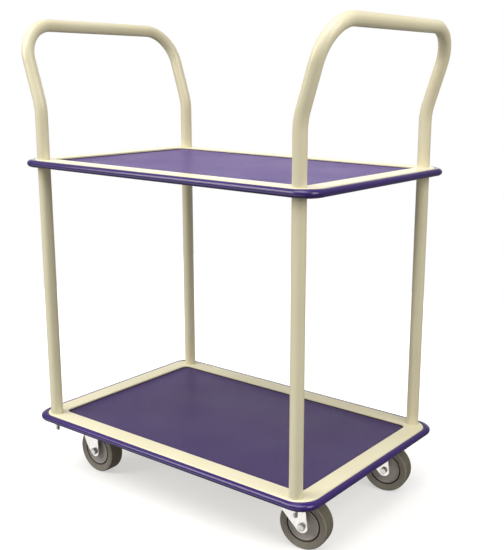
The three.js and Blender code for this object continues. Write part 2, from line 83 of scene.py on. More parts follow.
LOWER_TOP = node_box("lower_deck")[1].z
UPPER_TOP = node_box("upper_deck")[1].z
DECK_L = node_box("lower_deck")[1].x * 2
DECK_W = node_box("lower_deck")[1].y * 2
DECK_R = 40.0
SHEET = 1.5
SKIRT_H = 15.2
RECESS_L, RECESS_W, RECESS_R, RECESS_D = 644.0, 386.0, 16.0, 6.0
GLUE_SHADE_RISE = 2.9
BUMPER_R = 38.0
BUMPER_L = node_box("lower_bumper")[1].x * 2
BUMPER_W = node_box("lower_bumper")[1].y * 2
TUBE_R = 12.7
LEG_X, LEG_Y = 326.0, 212.5
BEND_Z, LEAN, GRIP_Z, BEND_R, CORNER_R = 801.0, 52.0, 962.5, 120.0, 75.0
SOCKET_BOTTOM = 117.0
SOCKET_R = 15.1
COLLAR_BOTTOM = 676.0
SCREW_Z = 683.2
FIXED_X, FIXED_OFFSET, SWIVEL_X, CASTER_Y = -264.0, 6.0, 262.0, 149.0
PLATE_L, PLATE_W, PLATE_T, PLATE_TOP = 95.0, 70.0, 2.5, 123.7
BOLT_X, BOLT_Y = 36.0, 24.0
RAIL_BOTTOM = 124.0
TAPPED_TOP = 129.0
AXLE_Z, TRAIL, SWIVEL_REST = 50.0, 39.0, 10.0
FORK_GAP, CHEEK_T, CHEEK_ROUND = 38.6, 2.5, 12.5
CROWN_TOP, CROWN_T = 115.0, 3.0
GAP = 0.3

CORNERS = [
    ("front_left", -1, -1),
    ("front_right", -1, 1),
    ("rear_left", 1, -1),
    ("rear_right", 1, 1),
]

# --------------------------------------------------------------------- meshes


def link(name, mesh):
    o = bpy.data.objects.new(name, mesh)
    scene.collection.objects.link(o)
    return o


def to_object(name, bm, sharp=32.0, recalc=True):
    """A bmesh in millimetres as an object in metres, smooth with sharp edges."""
    bmesh.ops.remove_doubles(bm, verts=bm.verts, dist=0.0005)
    if recalc:
        bmesh.ops.recalc_face_normals(bm, faces=bm.faces)
    mark_sharp(bm, sharp)
    mesh = bpy.data.meshes.new(name)
    bm.to_mesh(mesh)
    bm.free()
    mesh.transform(Matrix.Scale(MM, 4))
    return link(name, mesh)


def mark_sharp(bm, sharp):
    for f in bm.faces:
        f.smooth = True
    limit = math.radians(sharp)
    for e in bm.edges:
        if len(e.link_faces) == 2:
            e.smooth = e.calc_face_angle(0.0) < limit


def weighted(o):
    m = o.modifiers.new("weighted_normals", "WEIGHTED_NORMAL")
    m.keep_sharp = True
    m.weight = 50
    return o


def apply_modifiers(o, sharp=32.0):
    bpy.context.view_layer.update()
    graph = bpy.context.evaluated_depsgraph_get()
    mesh = bpy.data.meshes.new_from_object(o.evaluated_get(graph))
    old = o.data
    o.modifiers.clear()
    o.data = mesh
    mesh.name = o.name
    if old.users == 0:
        bpy.data.meshes.remove(old)
    bm = bmesh.new()
    bm.from_mesh(mesh)
    bmesh.ops.remove_doubles(bm, verts=bm.verts, dist=2e-7)
    bmesh.ops.dissolve_degenerate(bm, dist=1e-7, edges=bm.edges)
    mark_sharp(bm, sharp)
    bm.to_mesh(mesh)
    bm.free()
    return o


def boolean(o, cutters, operation="DIFFERENCE", sharp=32.0, keep=False):
    for c in cutters:
        m = o.modifiers.new("cut", "BOOLEAN")
        m.operation = operation
        m.solver = "EXACT"
        m.object = c
    apply_modifiers(o, sharp)
    if not keep:
        for c in cutters:
            data = c.data
            bpy.data.objects.remove(c)
            if data.users == 0:
                bpy.data.meshes.remove(data)
    return o


def bevelled(o, width, segments=2, angle=40.0, sharp=32.0):
    m = o.modifiers.new("edges", "BEVEL")
    m.width = width * MM
    m.segments = segments
    m.limit_method = "ANGLE"
    m.angle_limit = math.radians(angle)
    m.use_clamp_overlap = True
    m.harden_normals = False
    return apply_modifiers(o, sharp)


def rr_loop(length, width, radius, z, n=14):
    """Points of a rounded rectangle, anticlockwise, n steps to each corner."""
    pts = []
    radius = max(radius, 0.4)
    for cx, cy, a0 in (
        (length / 2 - radius, width / 2 - radius, 0),
        (-length / 2 + radius, width / 2 - radius, 90),
        (-length / 2 + radius, -width / 2 + radius, 180),
        (length / 2 - radius, -width / 2 + radius, 270),
    ):
        for i in range(n + 1):
            a = math.radians(a0 + 90.0 * i / n)
            pts.append((cx + radius * math.cos(a), cy + radius * math.sin(a), z))
    return pts


def rr2(length, width, radius, n=8):
    return [(p[0], p[1]) for p in rr_loop(length, width, radius, 0, n)]


def loft(bm, loops, close=False, cap_first=True, cap_last=True):
    rings = [[bm.verts.new(p) for p in loop] for loop in loops]
    n = len(rings[0])
    pairs = list(zip(rings, rings[1:]))
    if close:
        pairs.append((rings[-1], rings[0]))
    for a, b in pairs:
        for i in range(n):
            j = (i + 1) % n
            bm.faces.new((a[i], a[j], b[j], b[i]))
    if not close and cap_first:
        bm.faces.new(list(reversed(rings[0])))
    if not close and cap_last:
        bm.faces.new(rings[-1])
    return rings


def rounded(points, radii, n=5):
    """A closed 2-D outline with its corners rounded."""
    out = []
    m = len(points)
    for i, p in enumerate(points):
        r = radii[i] if isinstance(radii, (list, tuple)) else radii
        p = Vector(p)
        a = Vector(points[(i - 1) % m]) - p
        b = Vector(points[(i + 1) % m]) - p
        if r <= 0.01:
            out.append(tuple(p))
            continue
        la, lb = a.length, b.length
        a.normalize()
        b.normalize()
        half = math.acos(max(-1.0, min(1.0, a.dot(b)))) / 2
        if half > math.radians(89):
            out.append(tuple(p))
            continue
        t = min(r / math.tan(half), la * 0.48, lb * 0.48)
        rr = t * math.tan(half)
        s = p + a * t
        centre = p + (a + b).normalized() * (rr / math.sin(half))
        e1 = (s - centre).normalized()
        e2 = -a
        sweep = math.pi - 2 * half
        for k in range(n + 1):
            w = sweep * k / n
            out.append(tuple(centre + e1 * (rr * math.cos(w)) + e2 * (rr * math.sin(w))))
    return out


def prism(name, outline, low, high, plane="XY", sharp=32.0):
    """A closed outline drawn in plane and run from low to high along its normal."""
    bm = bmesh.new()

    def at(p, d):
        if plane == "XY":
            return (p[0], p[1], d)
        if plane == "XZ":
            return (p[0], d, p[1])
        return (d, p[0], p[1])

    loft(bm, [[at(p, low) for p in outline], [at(p, high) for p in outline]])
    return to_object(name, bm, sharp)


def lathe(name, profile, sides=64, axis="Z", origin=(0, 0, 0), sharp=32.0, spin=0.0):
    """A closed profile of (radius, distance along the axis) turned once."""
    bm = bmesh.new()
    ring = []
    for i in range(sides):
        a = spin + 2 * math.pi * i / sides
        c, s = math.cos(a), math.sin(a)
        row = []
        for r, d in profile:
            if axis == "Z":
                p = (r * c, r * s, d)
            elif axis == "Y":
                p = (r * c, d, r * s)
            else:
                p = (d, r * c, r * s)
            row.append(
                bm.verts.new((p[0] + origin[0], p[1] + origin[1], p[2] + origin[2]))
            )
        ring.append(row)
    m = len(profile)
    for i in range(sides):
        a, b = ring[i], ring[(i + 1) % sides]
        for k in range(m):
            j = (k + 1) % m
            if profile[k][0] < 1e-6 and profile[j][0] < 1e-6:
                continue
            quad = [a[k], a[j], b[j], b[k]]
            if profile[k][0] < 1e-6:
                quad = [a[k], a[j], b[j]]
            elif profile[j][0] < 1e-6:
                quad = [a[k], a[j], b[k]]
            bm.faces.new(quad)
    return to_object(name, bm, sharp)


def arc(cx, cy, r, a0, a1, n):
    return [
        (
            cx + r * math.cos(math.radians(a0 + (a1 - a0) * i / n)),
            cy + r * math.sin(math.radians(a0 + (a1 - a0) * i / n)),
        )
        for i in range(n + 1)
    ]


def joined(name, objects, sharp=None):
    """Several objects' meshes in one object."""
    bm = bmesh.new()
    for o in objects:
        mesh = o.data
        mesh.transform(o.matrix_world)
        bm.from_mesh(mesh)
        bpy.data.objects.remove(o)
        if mesh.users == 0:
            bpy.data.meshes.remove(mesh)
    if sharp is not None:
        mark_sharp(bm, sharp)
    mesh = bpy.data.meshes.new(name)
    bm.to_mesh(mesh)
    bm.free()
    return link(name, mesh)


def copy_of(template, name, matrix):
    """A copy of a millimetre-origin template, moved in the frame."""
    mesh = template.data.copy()
    mesh.name = name
    mesh.transform(matrix)
    return link(name, mesh)


def drop(*objects):
    for o in objects:
        mesh = o.data
        bpy.data.objects.remove(o)
        if mesh.users == 0:
            bpy.data.meshes.remove(mesh)


def thread(name, radius, pitch, length, sides=28, tip=1.0, depth=0.61):
    """A screw thread from z = 0 to z = length, with a chamfered tip at z = 0."""
    bm = bmesh.new()
    per = 4
    shape = [0.0, 0.35, 1.0, 0.65]  # one turn's profile, root 0 to crest 1
    rows = int(length / pitch * per)
    root = radius - depth * pitch
    rings = []
    for k in range(rows + 1):
        ring = []
        for i in range(sides):
            a = 2 * math.pi * i / sides
            t = k / per + i / sides
            f = (t * per) % per
            lo = int(f) % per
            w = f - int(f)
            crest = shape[lo] * (1 - w) + shape[(lo + 1) % per] * w
            z = k * pitch / per
            r = root + (radius - root) * crest
            r = min(r, root - 0.25 + z * (radius - root + 0.3) / max(tip, 0.01))
            r = min(r, root + (radius - root) * min(1.0, (length - z) / pitch))
            ring.append((r * math.cos(a), r * math.sin(a), z))
        rings.append(ring)
    loft(bm, rings)
    return to_object(name, bm, sharp=50)


def place(x=0.0, y=0.0, z=0.0, rot=None):
    m = Matrix.Translation(Vector((x, y, z)) * MM)
    return m @ rot if rot is not None else m


ROT_X = lambda d: Matrix.Rotation(math.radians(d), 4, "X")
ROT_Y = lambda d: Matrix.Rotation(math.radians(d), 4, "Y")
ROT_Z = lambda d: Matrix.Rotation(math.radians(d), 4, "Z")


def put(o, body, slot, material, *nodes, weigh=True):
    o.data.materials.clear()
    o.data.materials.append(material)
    if weigh:
        weighted(o)
    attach(o, body)
    if nodes:
        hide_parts(*nodes)
    return o

# ------------------------------------------------------------------ materials


class Nodes:
    """A short way to write a node material."""

    def __init__(self, name):
        self.material = bpy.data.materials.new(name)
        self.material.use_nodes = True
        self.tree = self.material.node_tree
        self.tree.nodes.clear()
        self.out = self.add("ShaderNodeOutputMaterial")
        self.bsdf = self.add("ShaderNodeBsdfPrincipled")
        self.join(self.bsdf.outputs["BSDF"], self.out.inputs["Surface"])
        self.coord = self.add("ShaderNodeTexCoord")

    def add(self, kind, **values):
        n = self.tree.nodes.new(kind)
        for k, v in values.items():
            setattr(n, k, v)
        return n

    def join(self, a, b):
        self.tree.links.new(a, b)

    def mapped(self, scale=(1, 1, 1), turn=(0, 0, 0)):
        m = self.add("ShaderNodeMapping")
        m.inputs["Scale"].default_value = scale
        m.inputs["Rotation"].default_value = turn
        self.join(self.coord.outputs["Object"], m.inputs["Vector"])
        return m.outputs["Vector"]

    def noise(self, scale, detail=3.0, rough=0.5, vector=None, distortion=0.0):
        n = self.add("ShaderNodeTexNoise")
        n.inputs["Scale"].default_value = scale
        n.inputs["Detail"].default_value = detail
        n.inputs["Roughness"].default_value = rough
        n.inputs["Distortion"].default_value = distortion
        self.join(vector or self.coord.outputs["Object"], n.inputs["Vector"])
        return n.outputs["Fac"]

    def voronoi(self, scale, feature="F1", vector=None, randomness=1.0):
        n = self.add("ShaderNodeTexVoronoi", feature=feature)
        n.inputs["Scale"].default_value = scale
        n.inputs["Randomness"].default_value = randomness
        self.join(vector or self.coord.outputs["Object"], n.inputs["Vector"])
        return n.outputs["Distance"]

    def span(self, value, a0, a1, b0, b1, smooth=False):
        n = self.add("ShaderNodeMapRange")
        if smooth:
            n.interpolation_type = "SMOOTHSTEP"
        n.inputs["From Min"].default_value = a0
        n.inputs["From Max"].default_value = a1
        n.inputs["To Min"].default_value = b0
        n.inputs["To Max"].default_value = b1
        self.join(value, n.inputs["Value"])
        return n.outputs["Result"]

    def math(self, operation, a, b=None, clamp=False):
        n = self.add("ShaderNodeMath", operation=operation, use_clamp=clamp)
        for i, v in enumerate((a, b)):
            if v is None:
                continue
            if isinstance(v, (int, float)):
                n.inputs[i].default_value = v
            else:
                self.join(v, n.inputs[i])
        return n.outputs[0]

    def colours(self, fac, a, b):
        n = self.add("ShaderNodeMix", data_type="RGBA")
        self.join(fac, n.inputs["Factor"])
        for key, v in (("A", a), ("B", b)):
            socket = [s for s in n.inputs if s.name == key and s.type == "RGBA"][0]
            if isinstance(v, tuple):
                socket.default_value = (*v, 1.0)
            else:
                self.join(v, socket)
        return [s for s in n.outputs if s.type == "RGBA"][0]

    def bump(self, height, strength, distance, normal=None):
        n = self.add("ShaderNodeBump")
        n.inputs["Strength"].default_value = strength
        n.inputs["Distance"].default_value = distance
        self.join(height, n.inputs["Height"])
        if normal is not None:
            self.join(normal, n.inputs["Normal"])
        return n.outputs["Normal"]

    def set(self, **values):
        for key, v in values.items():
            socket = self.bsdf.inputs[key.replace("_", " ")]
            if isinstance(v, (int, float, tuple)):
                socket.default_value = (*v, 1.0) if isinstance(v, tuple) else v
            else:
                self.join(v, socket)


def cream_paint():
    """Semi-gloss powder coat: orange peel, faint mottling and hairline scuffs."""
    m = Nodes("cream_powder_coat")
    drift = m.span(m.noise(5.0, 3.0), 0.35, 0.65, 0.0, 1.0)
    base = m.colours(drift, (0.770, 0.722, 0.505), (0.805, 0.762, 0.545))
    fleck = m.span(m.noise(1400.0, 2.0), 0.60, 0.78, 0.0, 0.22, True)
    base = m.colours(fleck, base, (0.62, 0.57, 0.40))
    dust = m.span(m.noise(38.0, 5.0, 0.62), 0.56, 0.80, 0.0, 0.16, True)
    base = m.colours(dust, base, (0.66, 0.63, 0.52))
    long_scuffs = m.noise(60.0, 4.0, 0.7, m.mapped((14.0, 1.0, 1.0), (0.3, 0.2, 0.4)))
    scuff = m.span(long_scuffs, 0.62, 0.72, 0.0, 0.16, True)
    rough = m.math("ADD", m.span(m.noise(22.0, 4.0), 0.3, 0.7, 0.28, 0.40), scuff)
    peel = m.noise(420.0, 2.0, 0.45)
    fine = m.noise(1700.0, 2.0, 0.5)
    normal = m.bump(peel, 0.16, 0.00022)
    normal = m.bump(fine, 0.08, 0.00006, normal)
    m.set(Base_Color=base, Roughness=rough, Normal=normal)
    m.bsdf.inputs["Coat Weight"].default_value = 0.25
    m.bsdf.inputs["Coat Roughness"].default_value = 0.18
    m.bsdf.inputs["IOR"].default_value = 1.5
    return m.material


def mat_vinyl():
    """Dark purple vinyl sheet with a leather grain pressed into it."""
    m = Nodes("mat_vinyl")
    drift = m.span(m.noise(3.2, 3.0, 0.55), 0.32, 0.68, 0.0, 1.0)
    base = m.colours(drift, (0.030, 0.011, 0.090), (0.038, 0.015, 0.115))
    cell = m.voronoi(620.0, "DISTANCE_TO_EDGE", m.mapped((1.0, 1.0, 0.3)))
    crease = m.span(cell, 0.0, 0.16, 0.0, 1.0, True)
    # Painted shade: the grain's creases are drawn darker than the sheet.
    base = m.colours(crease, (0.016, 0.007, 0.045), base)
    dust = m.span(m.noise(14.0, 6.0, 0.66), 0.55, 0.80, 0.0, 0.14, True)
    base = m.colours(dust, base, (0.080, 0.052, 0.155))
    rough = m.math(
        "ADD",
        m.span(m.noise(9.0, 4.0), 0.3, 0.7, 0.32, 0.40),
        m.span(m.noise(240.0, 3.0), 0.3, 0.7, -0.05, 0.06),
    )
    grain = m.math("MULTIPLY", crease, m.span(m.noise(900.0, 3.0), 0.2, 0.8, 0.7, 1.0))
    normal = m.bump(grain, 0.42, 0.00032)
    normal = m.bump(m.noise(24.0, 2.0), 0.10, 0.0016, normal)
    m.set(Base_Color=base, Roughness=rough, Normal=normal)
    m.bsdf.inputs["IOR"].default_value = 1.38
    m.bsdf.inputs["Sheen Weight"].default_value = 0.60
    m.bsdf.inputs["Sheen Roughness"].default_value = 0.30
    m.bsdf.inputs["Sheen Tint"].default_value = (0.42, 0.26, 1.0, 1.0)
    return m.material


def bumper_pvc():
    """Glossy violet PVC extrusion: draw lines, slight waves and rub marks."""
    m = Nodes("bumper_pvc")
    drift = m.span(m.noise(7.0, 3.0), 0.3, 0.7, 0.0, 1.0)
    base = m.colours(drift, (0.028, 0.010, 0.125), (0.036, 0.013, 0.152))
    rub = m.span(m.noise(210.0, 4.0, 0.7), 0.64, 0.80, 0.0, 0.30, True)
    base = m.colours(rub, base, (0.075, 0.050, 0.190))
    rough = m.math("ADD", m.span(m.noise(60.0, 3.0), 0.3, 0.7, 0.17, 0.25), m.math("MULTIPLY", rub, 0.3))
    waves = m.noise(11.0, 1.0, 0.4)
    lines = m.noise(900.0, 2.0, 0.4, m.mapped((0.02, 0.02, 1.0)))
    normal = m.bump(waves, 0.10, 0.0014)
    normal = m.bump(lines, 0.10, 0.0001, normal)
    m.set(Base_Color=base, Roughness=rough, Normal=normal)
    m.bsdf.inputs["IOR"].default_value = 1.5
    m.bsdf.inputs["Coat Weight"].default_value = 0.2
    m.bsdf.inputs["Coat Roughness"].default_value = 0.10
    return m.material


def mat_glue_and_painted_shade():
    """Near-black contact adhesive under the mats, also used as painted shade along their edges and the foot of the
    recess walls.
    """
    m = Nodes("mat_adhesive_and_painted_shade")
    lumps = m.noise(140.0, 4.0, 0.6)
    base = m.colours(m.span(lumps, 0.3, 0.7, 0.0, 1.0), (0.018, 0.013, 0.022), (0.040, 0.032, 0.046))
    normal = m.bump(lumps, 0.4, 0.0004)
    m.set(Base_Color=base, Roughness=m.span(lumps, 0.3, 0.7, 0.35, 0.6), Normal=normal)
    return m.material


def zinc_plate(name="bright_zinc", dark=0.0):
    """Bright zinc plating on pressed steel: faint blue and straw tints, rolling
    lines and a little dulling."""
    m = Nodes(name)
    k = 1.0 - dark
    tint = m.span(m.noise(26.0, 3.0, 0.6), 0.3, 0.7, 0.0, 1.0)
    base = m.colours(tint, (0.79 * k, 0.80 * k, 0.81 * k), (0.83 * k, 0.815 * k, 0.765 * k))
    dull = m.span(m.noise(90.0, 5.0, 0.65), 0.55, 0.8, 0.0, 0.5, True)
    base = m.colours(dull, base, (0.63 * k, 0.63 * k, 0.61 * k))
    lines = m.noise(260.0, 3.0, 0.6, m.mapped((1.0, 6.0, 0.12), (0.0, 0.12, 0.0)))
    rough = m.math(
        "ADD",
        m.span(lines, 0.3, 0.7, 0.24, 0.36),
        m.math("MULTIPLY", dull, 0.25),
    )
    normal = m.bump(m.noise(700.0, 3.0, 0.55), 0.10, 0.00008)
    normal = m.bump(m.noise(60.0, 2.0), 0.10, 0.0006, normal)
    m.set(Base_Color=base, Roughness=rough, Normal=normal)
    m.bsdf.inputs["Metallic"].default_value = 0.95
    return m.material


def tyre_rubber():
    """Grey non-marking rubber with a matt moulded skin and dusty patches."""
    m = Nodes("grey_rubber")
    drift = m.span(m.noise(28.0, 4.0, 0.6), 0.3, 0.7, 0.0, 1.0)
    base = m.colours(drift, (0.290, 0.266, 0.222), (0.345, 0.318, 0.268))
    dirt = m.span(m.noise(120.0, 6.0, 0.7), 0.52, 0.78, 0.0, 0.5, True)
    base = m.colours(dirt, base, (0.150, 0.136, 0.108))
    rough = m.span(m.noise(160.0, 4.0), 0.3, 0.7, 0.55, 0.75)
    normal = m.bump(m.noise(1500.0, 3.0, 0.6), 0.22, 0.00012)
    normal = m.bump(m.noise(190.0, 3.0, 0.5), 0.16, 0.0003, normal)
    m.set(Base_Color=base, Roughness=rough, Normal=normal)
    m.bsdf.inputs["IOR"].default_value = 1.52
    return m.material


def core_plastic():
    """Warm grey moulded plastic, satin, with faint flow marks."""
    m = Nodes("grey_moulded_plastic")
    flow = m.span(m.noise(55.0, 4.0, 0.6, None, 0.8), 0.3, 0.7, 0.0, 1.0)
    base = m.colours(flow, (0.440, 0.398, 0.375), (0.490, 0.447, 0.425))
    dirt = m.span(m.noise(180.0, 5.0, 0.7), 0.58, 0.8, 0.0, 0.4, True)
    base = m.colours(dirt, base, (0.30, 0.27, 0.25))
    rough = m.span(m.noise(85.0, 4.0), 0.3, 0.7, 0.38, 0.52)
    normal = m.bump(m.noise(1100.0, 2.0), 0.14, 0.0001)
    m.set(Base_Color=base, Roughness=rough, Normal=normal)
    m.bsdf.inputs["IOR"].default_value = 1.5
    return m.material


def groove_dirt_and_shade():
    """Dust and old grease packed into the joint between tyre and core, and painted shade for the deep groove there."""
    m = Nodes("groove_dirt_and_shade")
    lumps = m.noise(300.0, 4.0, 0.6)
    base = m.colours(m.span(lumps, 0.3, 0.7, 0.0, 1.0), (0.040, 0.035, 0.030), (0.085, 0.076, 0.064))
    m.set(Base_Color=base, Roughness=m.span(lumps, 0.3, 0.7, 0.65, 0.9), Normal=m.bump(lumps, 0.4, 0.0003))
    return m.material


CREAM = cream_paint()
VINYL = mat_vinyl()
GLUE_AND_SHADE = mat_glue_and_painted_shade()
PVC = bumper_pvc()
ZINC = zinc_plate()
# Darker copies of the same zinc, their colours scaled down by dark, for the small fittings.
ZINC_DARKER = zinc_plate("darker_zinc", 0.18)
ZINC_BOLT = zinc_plate("bolt_zinc", 0.25)
RUBBER = tyre_rubber()
CORE = core_plastic()
GROOVE_DIRT_AND_SHADE = groove_dirt_and_shade()

# ---------------------------------------------------------------------- decks


def outer(offset, z, n=14):
    return rr_loop(DECK_L - 2 * offset, DECK_W - 2 * offset, DECK_R - offset, z, n)


def inner(offset, z, n=14):
    return rr_loop(RECESS_L + 2 * offset, RECESS_W + 2 * offset, RECESS_R + offset, z, n)


def tray(name, top):
    """Pressed tray: recess, rounded lip, flat border, rolled edge and skirt."""
    loops = [inner(-9.0, top - RECESS_D)]
    loops += [inner(x, top + z) for x, z in arc(-1.2, 1.2 - RECESS_D, 1.2, -90, 0, 4)]
    # This loop is where the dark band of adhesive and painted shade on the recess wall ends.
    loops += [inner(0.1, top - RECESS_D + GLUE_SHADE_RISE)]
    loops += [inner(x, top + z) for x, z in arc(1.7, -1.5, 1.5, 180, 90, 5)]
    loops += [inner(3.0, top)]
    loops += [outer(6.0, top)]
    for i in range(7):
        a = math.radians(15.0 * i)
        loops.append(outer(3.0 - 3.0 * math.sin(a), top - 3.0 + 3.0 * math.cos(a)))
    low = top - SKIRT_H
    loops += [
        outer(0.0, low + 0.5),
        outer(0.15, low + 0.15),
        outer(0.5, low),
        outer(SHEET - 0.5, low),
        outer(SHEET - 0.15, low + 0.15),
        outer(SHEET, low + 0.5),
    ]
    for i in range(5):
        a = math.radians(22.5 * i)
        loops.append(
            outer(3.0 - 1.5 * math.cos(a), top - 3.0 + 1.5 * math.sin(a))
        )
    loops += [outer(6.0, top - SHEET), inner(4.6, top - SHEET)]
    loops += [inner(x, top + z) for x, z in arc(3.0, -3.0, 1.5, 90, 180, 4)][1:]
    loops += [inner(x, top + z) for x, z in arc(-0.6, 0.6 - RECESS_D, 2.1, 0, -90, 5)]
    loops += [inner(-9.0, top - RECESS_D - SHEET)]
    bm = bmesh.new()
    loft(bm, loops)
    return to_object(name, bm)


def hat_rail(name, along_x, centre, low, high, width, flange, under, bottom):
    """Top-hat stiffening rail with bent corners."""
    t, h = 2.0, width / 2
    web = under - t - bottom
    bend, foot = min(1.4, 0.3 * web), min(3.0, 0.6 * web)
    outline = rounded(
        [
            (-h - flange, under + 0.2),
            (-h - flange, under - t),
            (-h, under - t),
            (-h, bottom),
            (h, bottom),
            (h, under - t),
            (h + flange, under - t),
            (h + flange, under + 0.2),
            (h - t, under + 0.2),
            (h - t, bottom + t),
            (-h + t, bottom + t),
            (-h + t, under + 0.2),
        ],
        [0, 0.5, bend, foot, foot, bend, 0.5, 0, 0, 1.0, 1.0, 0],
        4,
    )
    o = prism(name, outline, low, high, "XZ")
    if along_x:
        o.data.transform(ROT_Z(-90))
        o.data.transform(place(0, centre, 0))
    else:
        o.data.transform(place(centre, 0, 0))
    return o


def weld_beads(name, spots, size=1.5, seed=3):
    """Short weld beads: each spot is (start, end) in millimetres."""
    r = random.Random(seed)
    bm = bmesh.new()
    for start, end in spots:
        a, b = Vector(start), Vector(end)
        steps = max(4, int((b - a).length / 1.1))
        along = (b - a).normalized()
        side = along.orthogonal().normalized()
        up = along.cross(side)
        loops = []
        for i in range(steps + 1):
            t = i / steps
            swell = math.sin(math.pi * min(1.0, max(0.0, t))) ** 0.35 if 0 < t < 1 else 0.15
            ripple = 1.0 + 0.13 * math.cos(i * math.pi) + r.uniform(-0.05, 0.05)
            w = size * swell * ripple
            c = a + (b - a) * t
            loops.append(
                [
                    tuple(
                        c
                        + side * (w * math.cos(2 * math.pi * k / 10))
                        + up * (w * math.sin(2 * math.pi * k / 10))
                    )
                    for k in range(10)
                ]
            )
        loft(bm, loops)
    return to_object(name, bm, sharp=70)


PLATES = [(FIXED_X if sx < 0 else SWIVEL_X, sy * CASTER_Y, c, sx) for c, sx, sy in CORNERS]


def lower_deck():
    top = LOWER_TOP
    under = top - RECESS_D - SHEET
    d = tray("lower_deck_tray", top)
    holes = [
        lathe(f"cut_{i}", [(0, top - 6), (13.0, top - 6), (13.0, top + 4), (0, top + 4)], 48, "Z", (sx * LEG_X, sy * LEG_Y, 0))
        for i, (_, sx, sy) in enumerate(CORNERS)
    ]
    boolean(d, holes)
    adds = []
    for i, x in enumerate((FIXED_X, SWIVEL_X)):
        adds.append(hat_rail(f"cross_rail_{i}", False, x, -186, 186, 104, 7, under, RAIL_BOTTOM))
    adds.append(hat_rail("long_rail", True, 0, -185, 185, 46, 9, under, RAIL_BOTTOM + 1.5))
    for i, (_, sx, sy) in enumerate(CORNERS):
        low = SOCKET_BOTTOM
        adds.append(
            lathe(
                f"socket_{i}",
                [(4.4, low), (13.4, low)]
                + [(13.4 + 1.7 * math.sin(math.radians(a)), low + 1.7 - 1.7 * math.cos(math.radians(a))) for a in (30, 60, 90)]
                + [
                    (SOCKET_R, top - 4.2),
                    (SOCKET_R + 0.5, top - 2.9),
                    (SOCKET_R + 1.5, top - 1.9),
                    (SOCKET_R + 2.6, top - SHEET + 0.1),
                    (13.0, top - SHEET + 0.1),
                    (13.0, low + 2.5),
                    (4.4, low + 2.5),
                ],
                48,
                "Z",
                (sx * LEG_X, sy * LEG_Y, 0),
            )
        )
    boolean(d, adds, "UNION")
    tapped = []
    for x, y, corner, sx in PLATES:
        block = prism(f"tapped_{corner}", rr2(99.2, 66, 3.0, 4), RAIL_BOTTOM + 2.03, TAPPED_TOP)
        block.data.transform(place(x, y))
        tapped.append(bevelled(block, 0.4, 1))
    drills = []
    for x, y, corner, sx in PLATES:
        for bx in (-1, 1):
            for by in (-1, 1):
                drills.append(
                    lathe(
                        f"bolt_hole_{corner}_{bx}_{by}",
                        [(0, RAIL_BOTTOM - 2), (4.3, RAIL_BOTTOM - 2), (4.3, TAPPED_TOP + 1), (0, TAPPED_TOP + 1)],
                        24,
                        "Z",
                        (x + bx * BOLT_X, y + by * BOLT_Y, 0),
                    )
                )
    for block in tapped:
        boolean(block, drills, keep=True)
    boolean(d, drills)
    parts = [d] + tapped
    spots = []
    for x in (FIXED_X, SWIVEL_X):
        for side in (-59.4, 59.4):
            for y in (-172, -120, -30, 30, 120, 172):
                spots.append(((x + side, y - 11, under - 0.6), (x + side, y + 11, under - 0.6)))
    for side in (-32.4, 32.4):
        for x in (-165, -60, 60, 165):
            spots.append(((x - 11, side, under - 0.6), (x + 11, side, under - 0.6)))
    parts.append(weld_beads("lower_welds", spots))
    return joined("lower_deck_weldment", parts)


def upper_deck():
    top = UPPER_TOP
    under = top - RECESS_D - SHEET
    d = tray("upper_deck_tray", top)
    holes = [
        lathe(f"cut_{i}", [(0, top - 6), (13.0, top - 6), (13.0, top + 4), (0, top + 4)], 48, "Z", (sx * LEG_X, sy * LEG_Y, 0))
        for i, (_, sx, sy) in enumerate(CORNERS)
    ]
    boolean(d, holes)
    adds = [hat_rail(f"cross_rail_{i}", False, x, -186, 186, 46, 9, under, under - 7) for i, x in enumerate((-190, 190))]
    adds.append(hat_rail("long_rail", True, 0, -150, 150, 46, 9, under, under - 7))
    for i, (_, sx, sy) in enumerate(CORNERS):
        low = COLLAR_BOTTOM
        adds.append(
            lathe(
                f"collar_{i}",
                [
                    (13.3, low),
                    (14.3, low),
                    (14.9, low + 0.25),
                    (SOCKET_R, low + 0.8),
                    (SOCKET_R, top - 4.2),
                    (SOCKET_R + 0.5, top - 2.9),
                    (SOCKET_R + 1.5, top - 1.9),
                    (SOCKET_R + 2.6, top - SHEET + 0.1),
                    (13.0, top - SHEET + 0.1),
                    (13.0, low + 0.3),
                ],
                48,
                "Z",
                (sx * LEG_X, sy * LEG_Y, 0),
            )
        )
    boolean(d, adds, "UNION")
    drills = []
    for i, (_, sx, sy) in enumerate(CORNERS):
        x = sx * LEG_X
        lo, hi = sorted((x - sx * 10.0, x - sx * 18.0))
        drills.append(lathe(f"drill_{i}", [(0, lo), (3.3, lo), (3.3, hi), (0, hi)], 24, "X", (0, sy * LEG_Y, SCREW_Z)))
    boolean(d, drills)
    spots = []
    for x in (-190, 190):
        for side in (-32.4, 32.4):
            for y in (-165, -100, 100, 165):
                spots.append(((x + side, y - 11, under - 0.6), (x + side, y + 11, under - 0.6)))
    for side in (-32.4, 32.4):
        for x in (-130, -45, 45, 130):
            spots.append(((x - 11, side, under - 0.6), (x + 11, side, under - 0.6)))
    return joined("upper_deck_weldment", [d, weld_beads("upper_welds", spots, seed=5)])


def glued_and_shaded(o, top):
    """Adhesive on the floor of a deck's recess, and painted shade on the foot of its walls, where the gap round the mat
    falls in shadow.
    """
    o.data.materials.append(GLUE_AND_SHADE)
    for f in o.data.polygons:
        c = f.center / MM
        if (
            top - RECESS_D - 0.05 < c.z < top - RECESS_D + GLUE_SHADE_RISE - 0.1
            and abs(c.x) < RECESS_L / 2 + 0.3
            and abs(c.y) < RECESS_W / 2 + 0.3
            and f.normal.z > -0.3
        ):
            f.material_index = 1


for build, word, top in ((lower_deck, "lower", LOWER_TOP), (upper_deck, "upper", UPPER_TOP)):
    deck = put(build(), "trolley", "cream_paint", CREAM, f"{word}_deck")
    # Painted shade: the recess floor and the foot of its walls turn near-black.
    glued_and_shaded(deck, top)


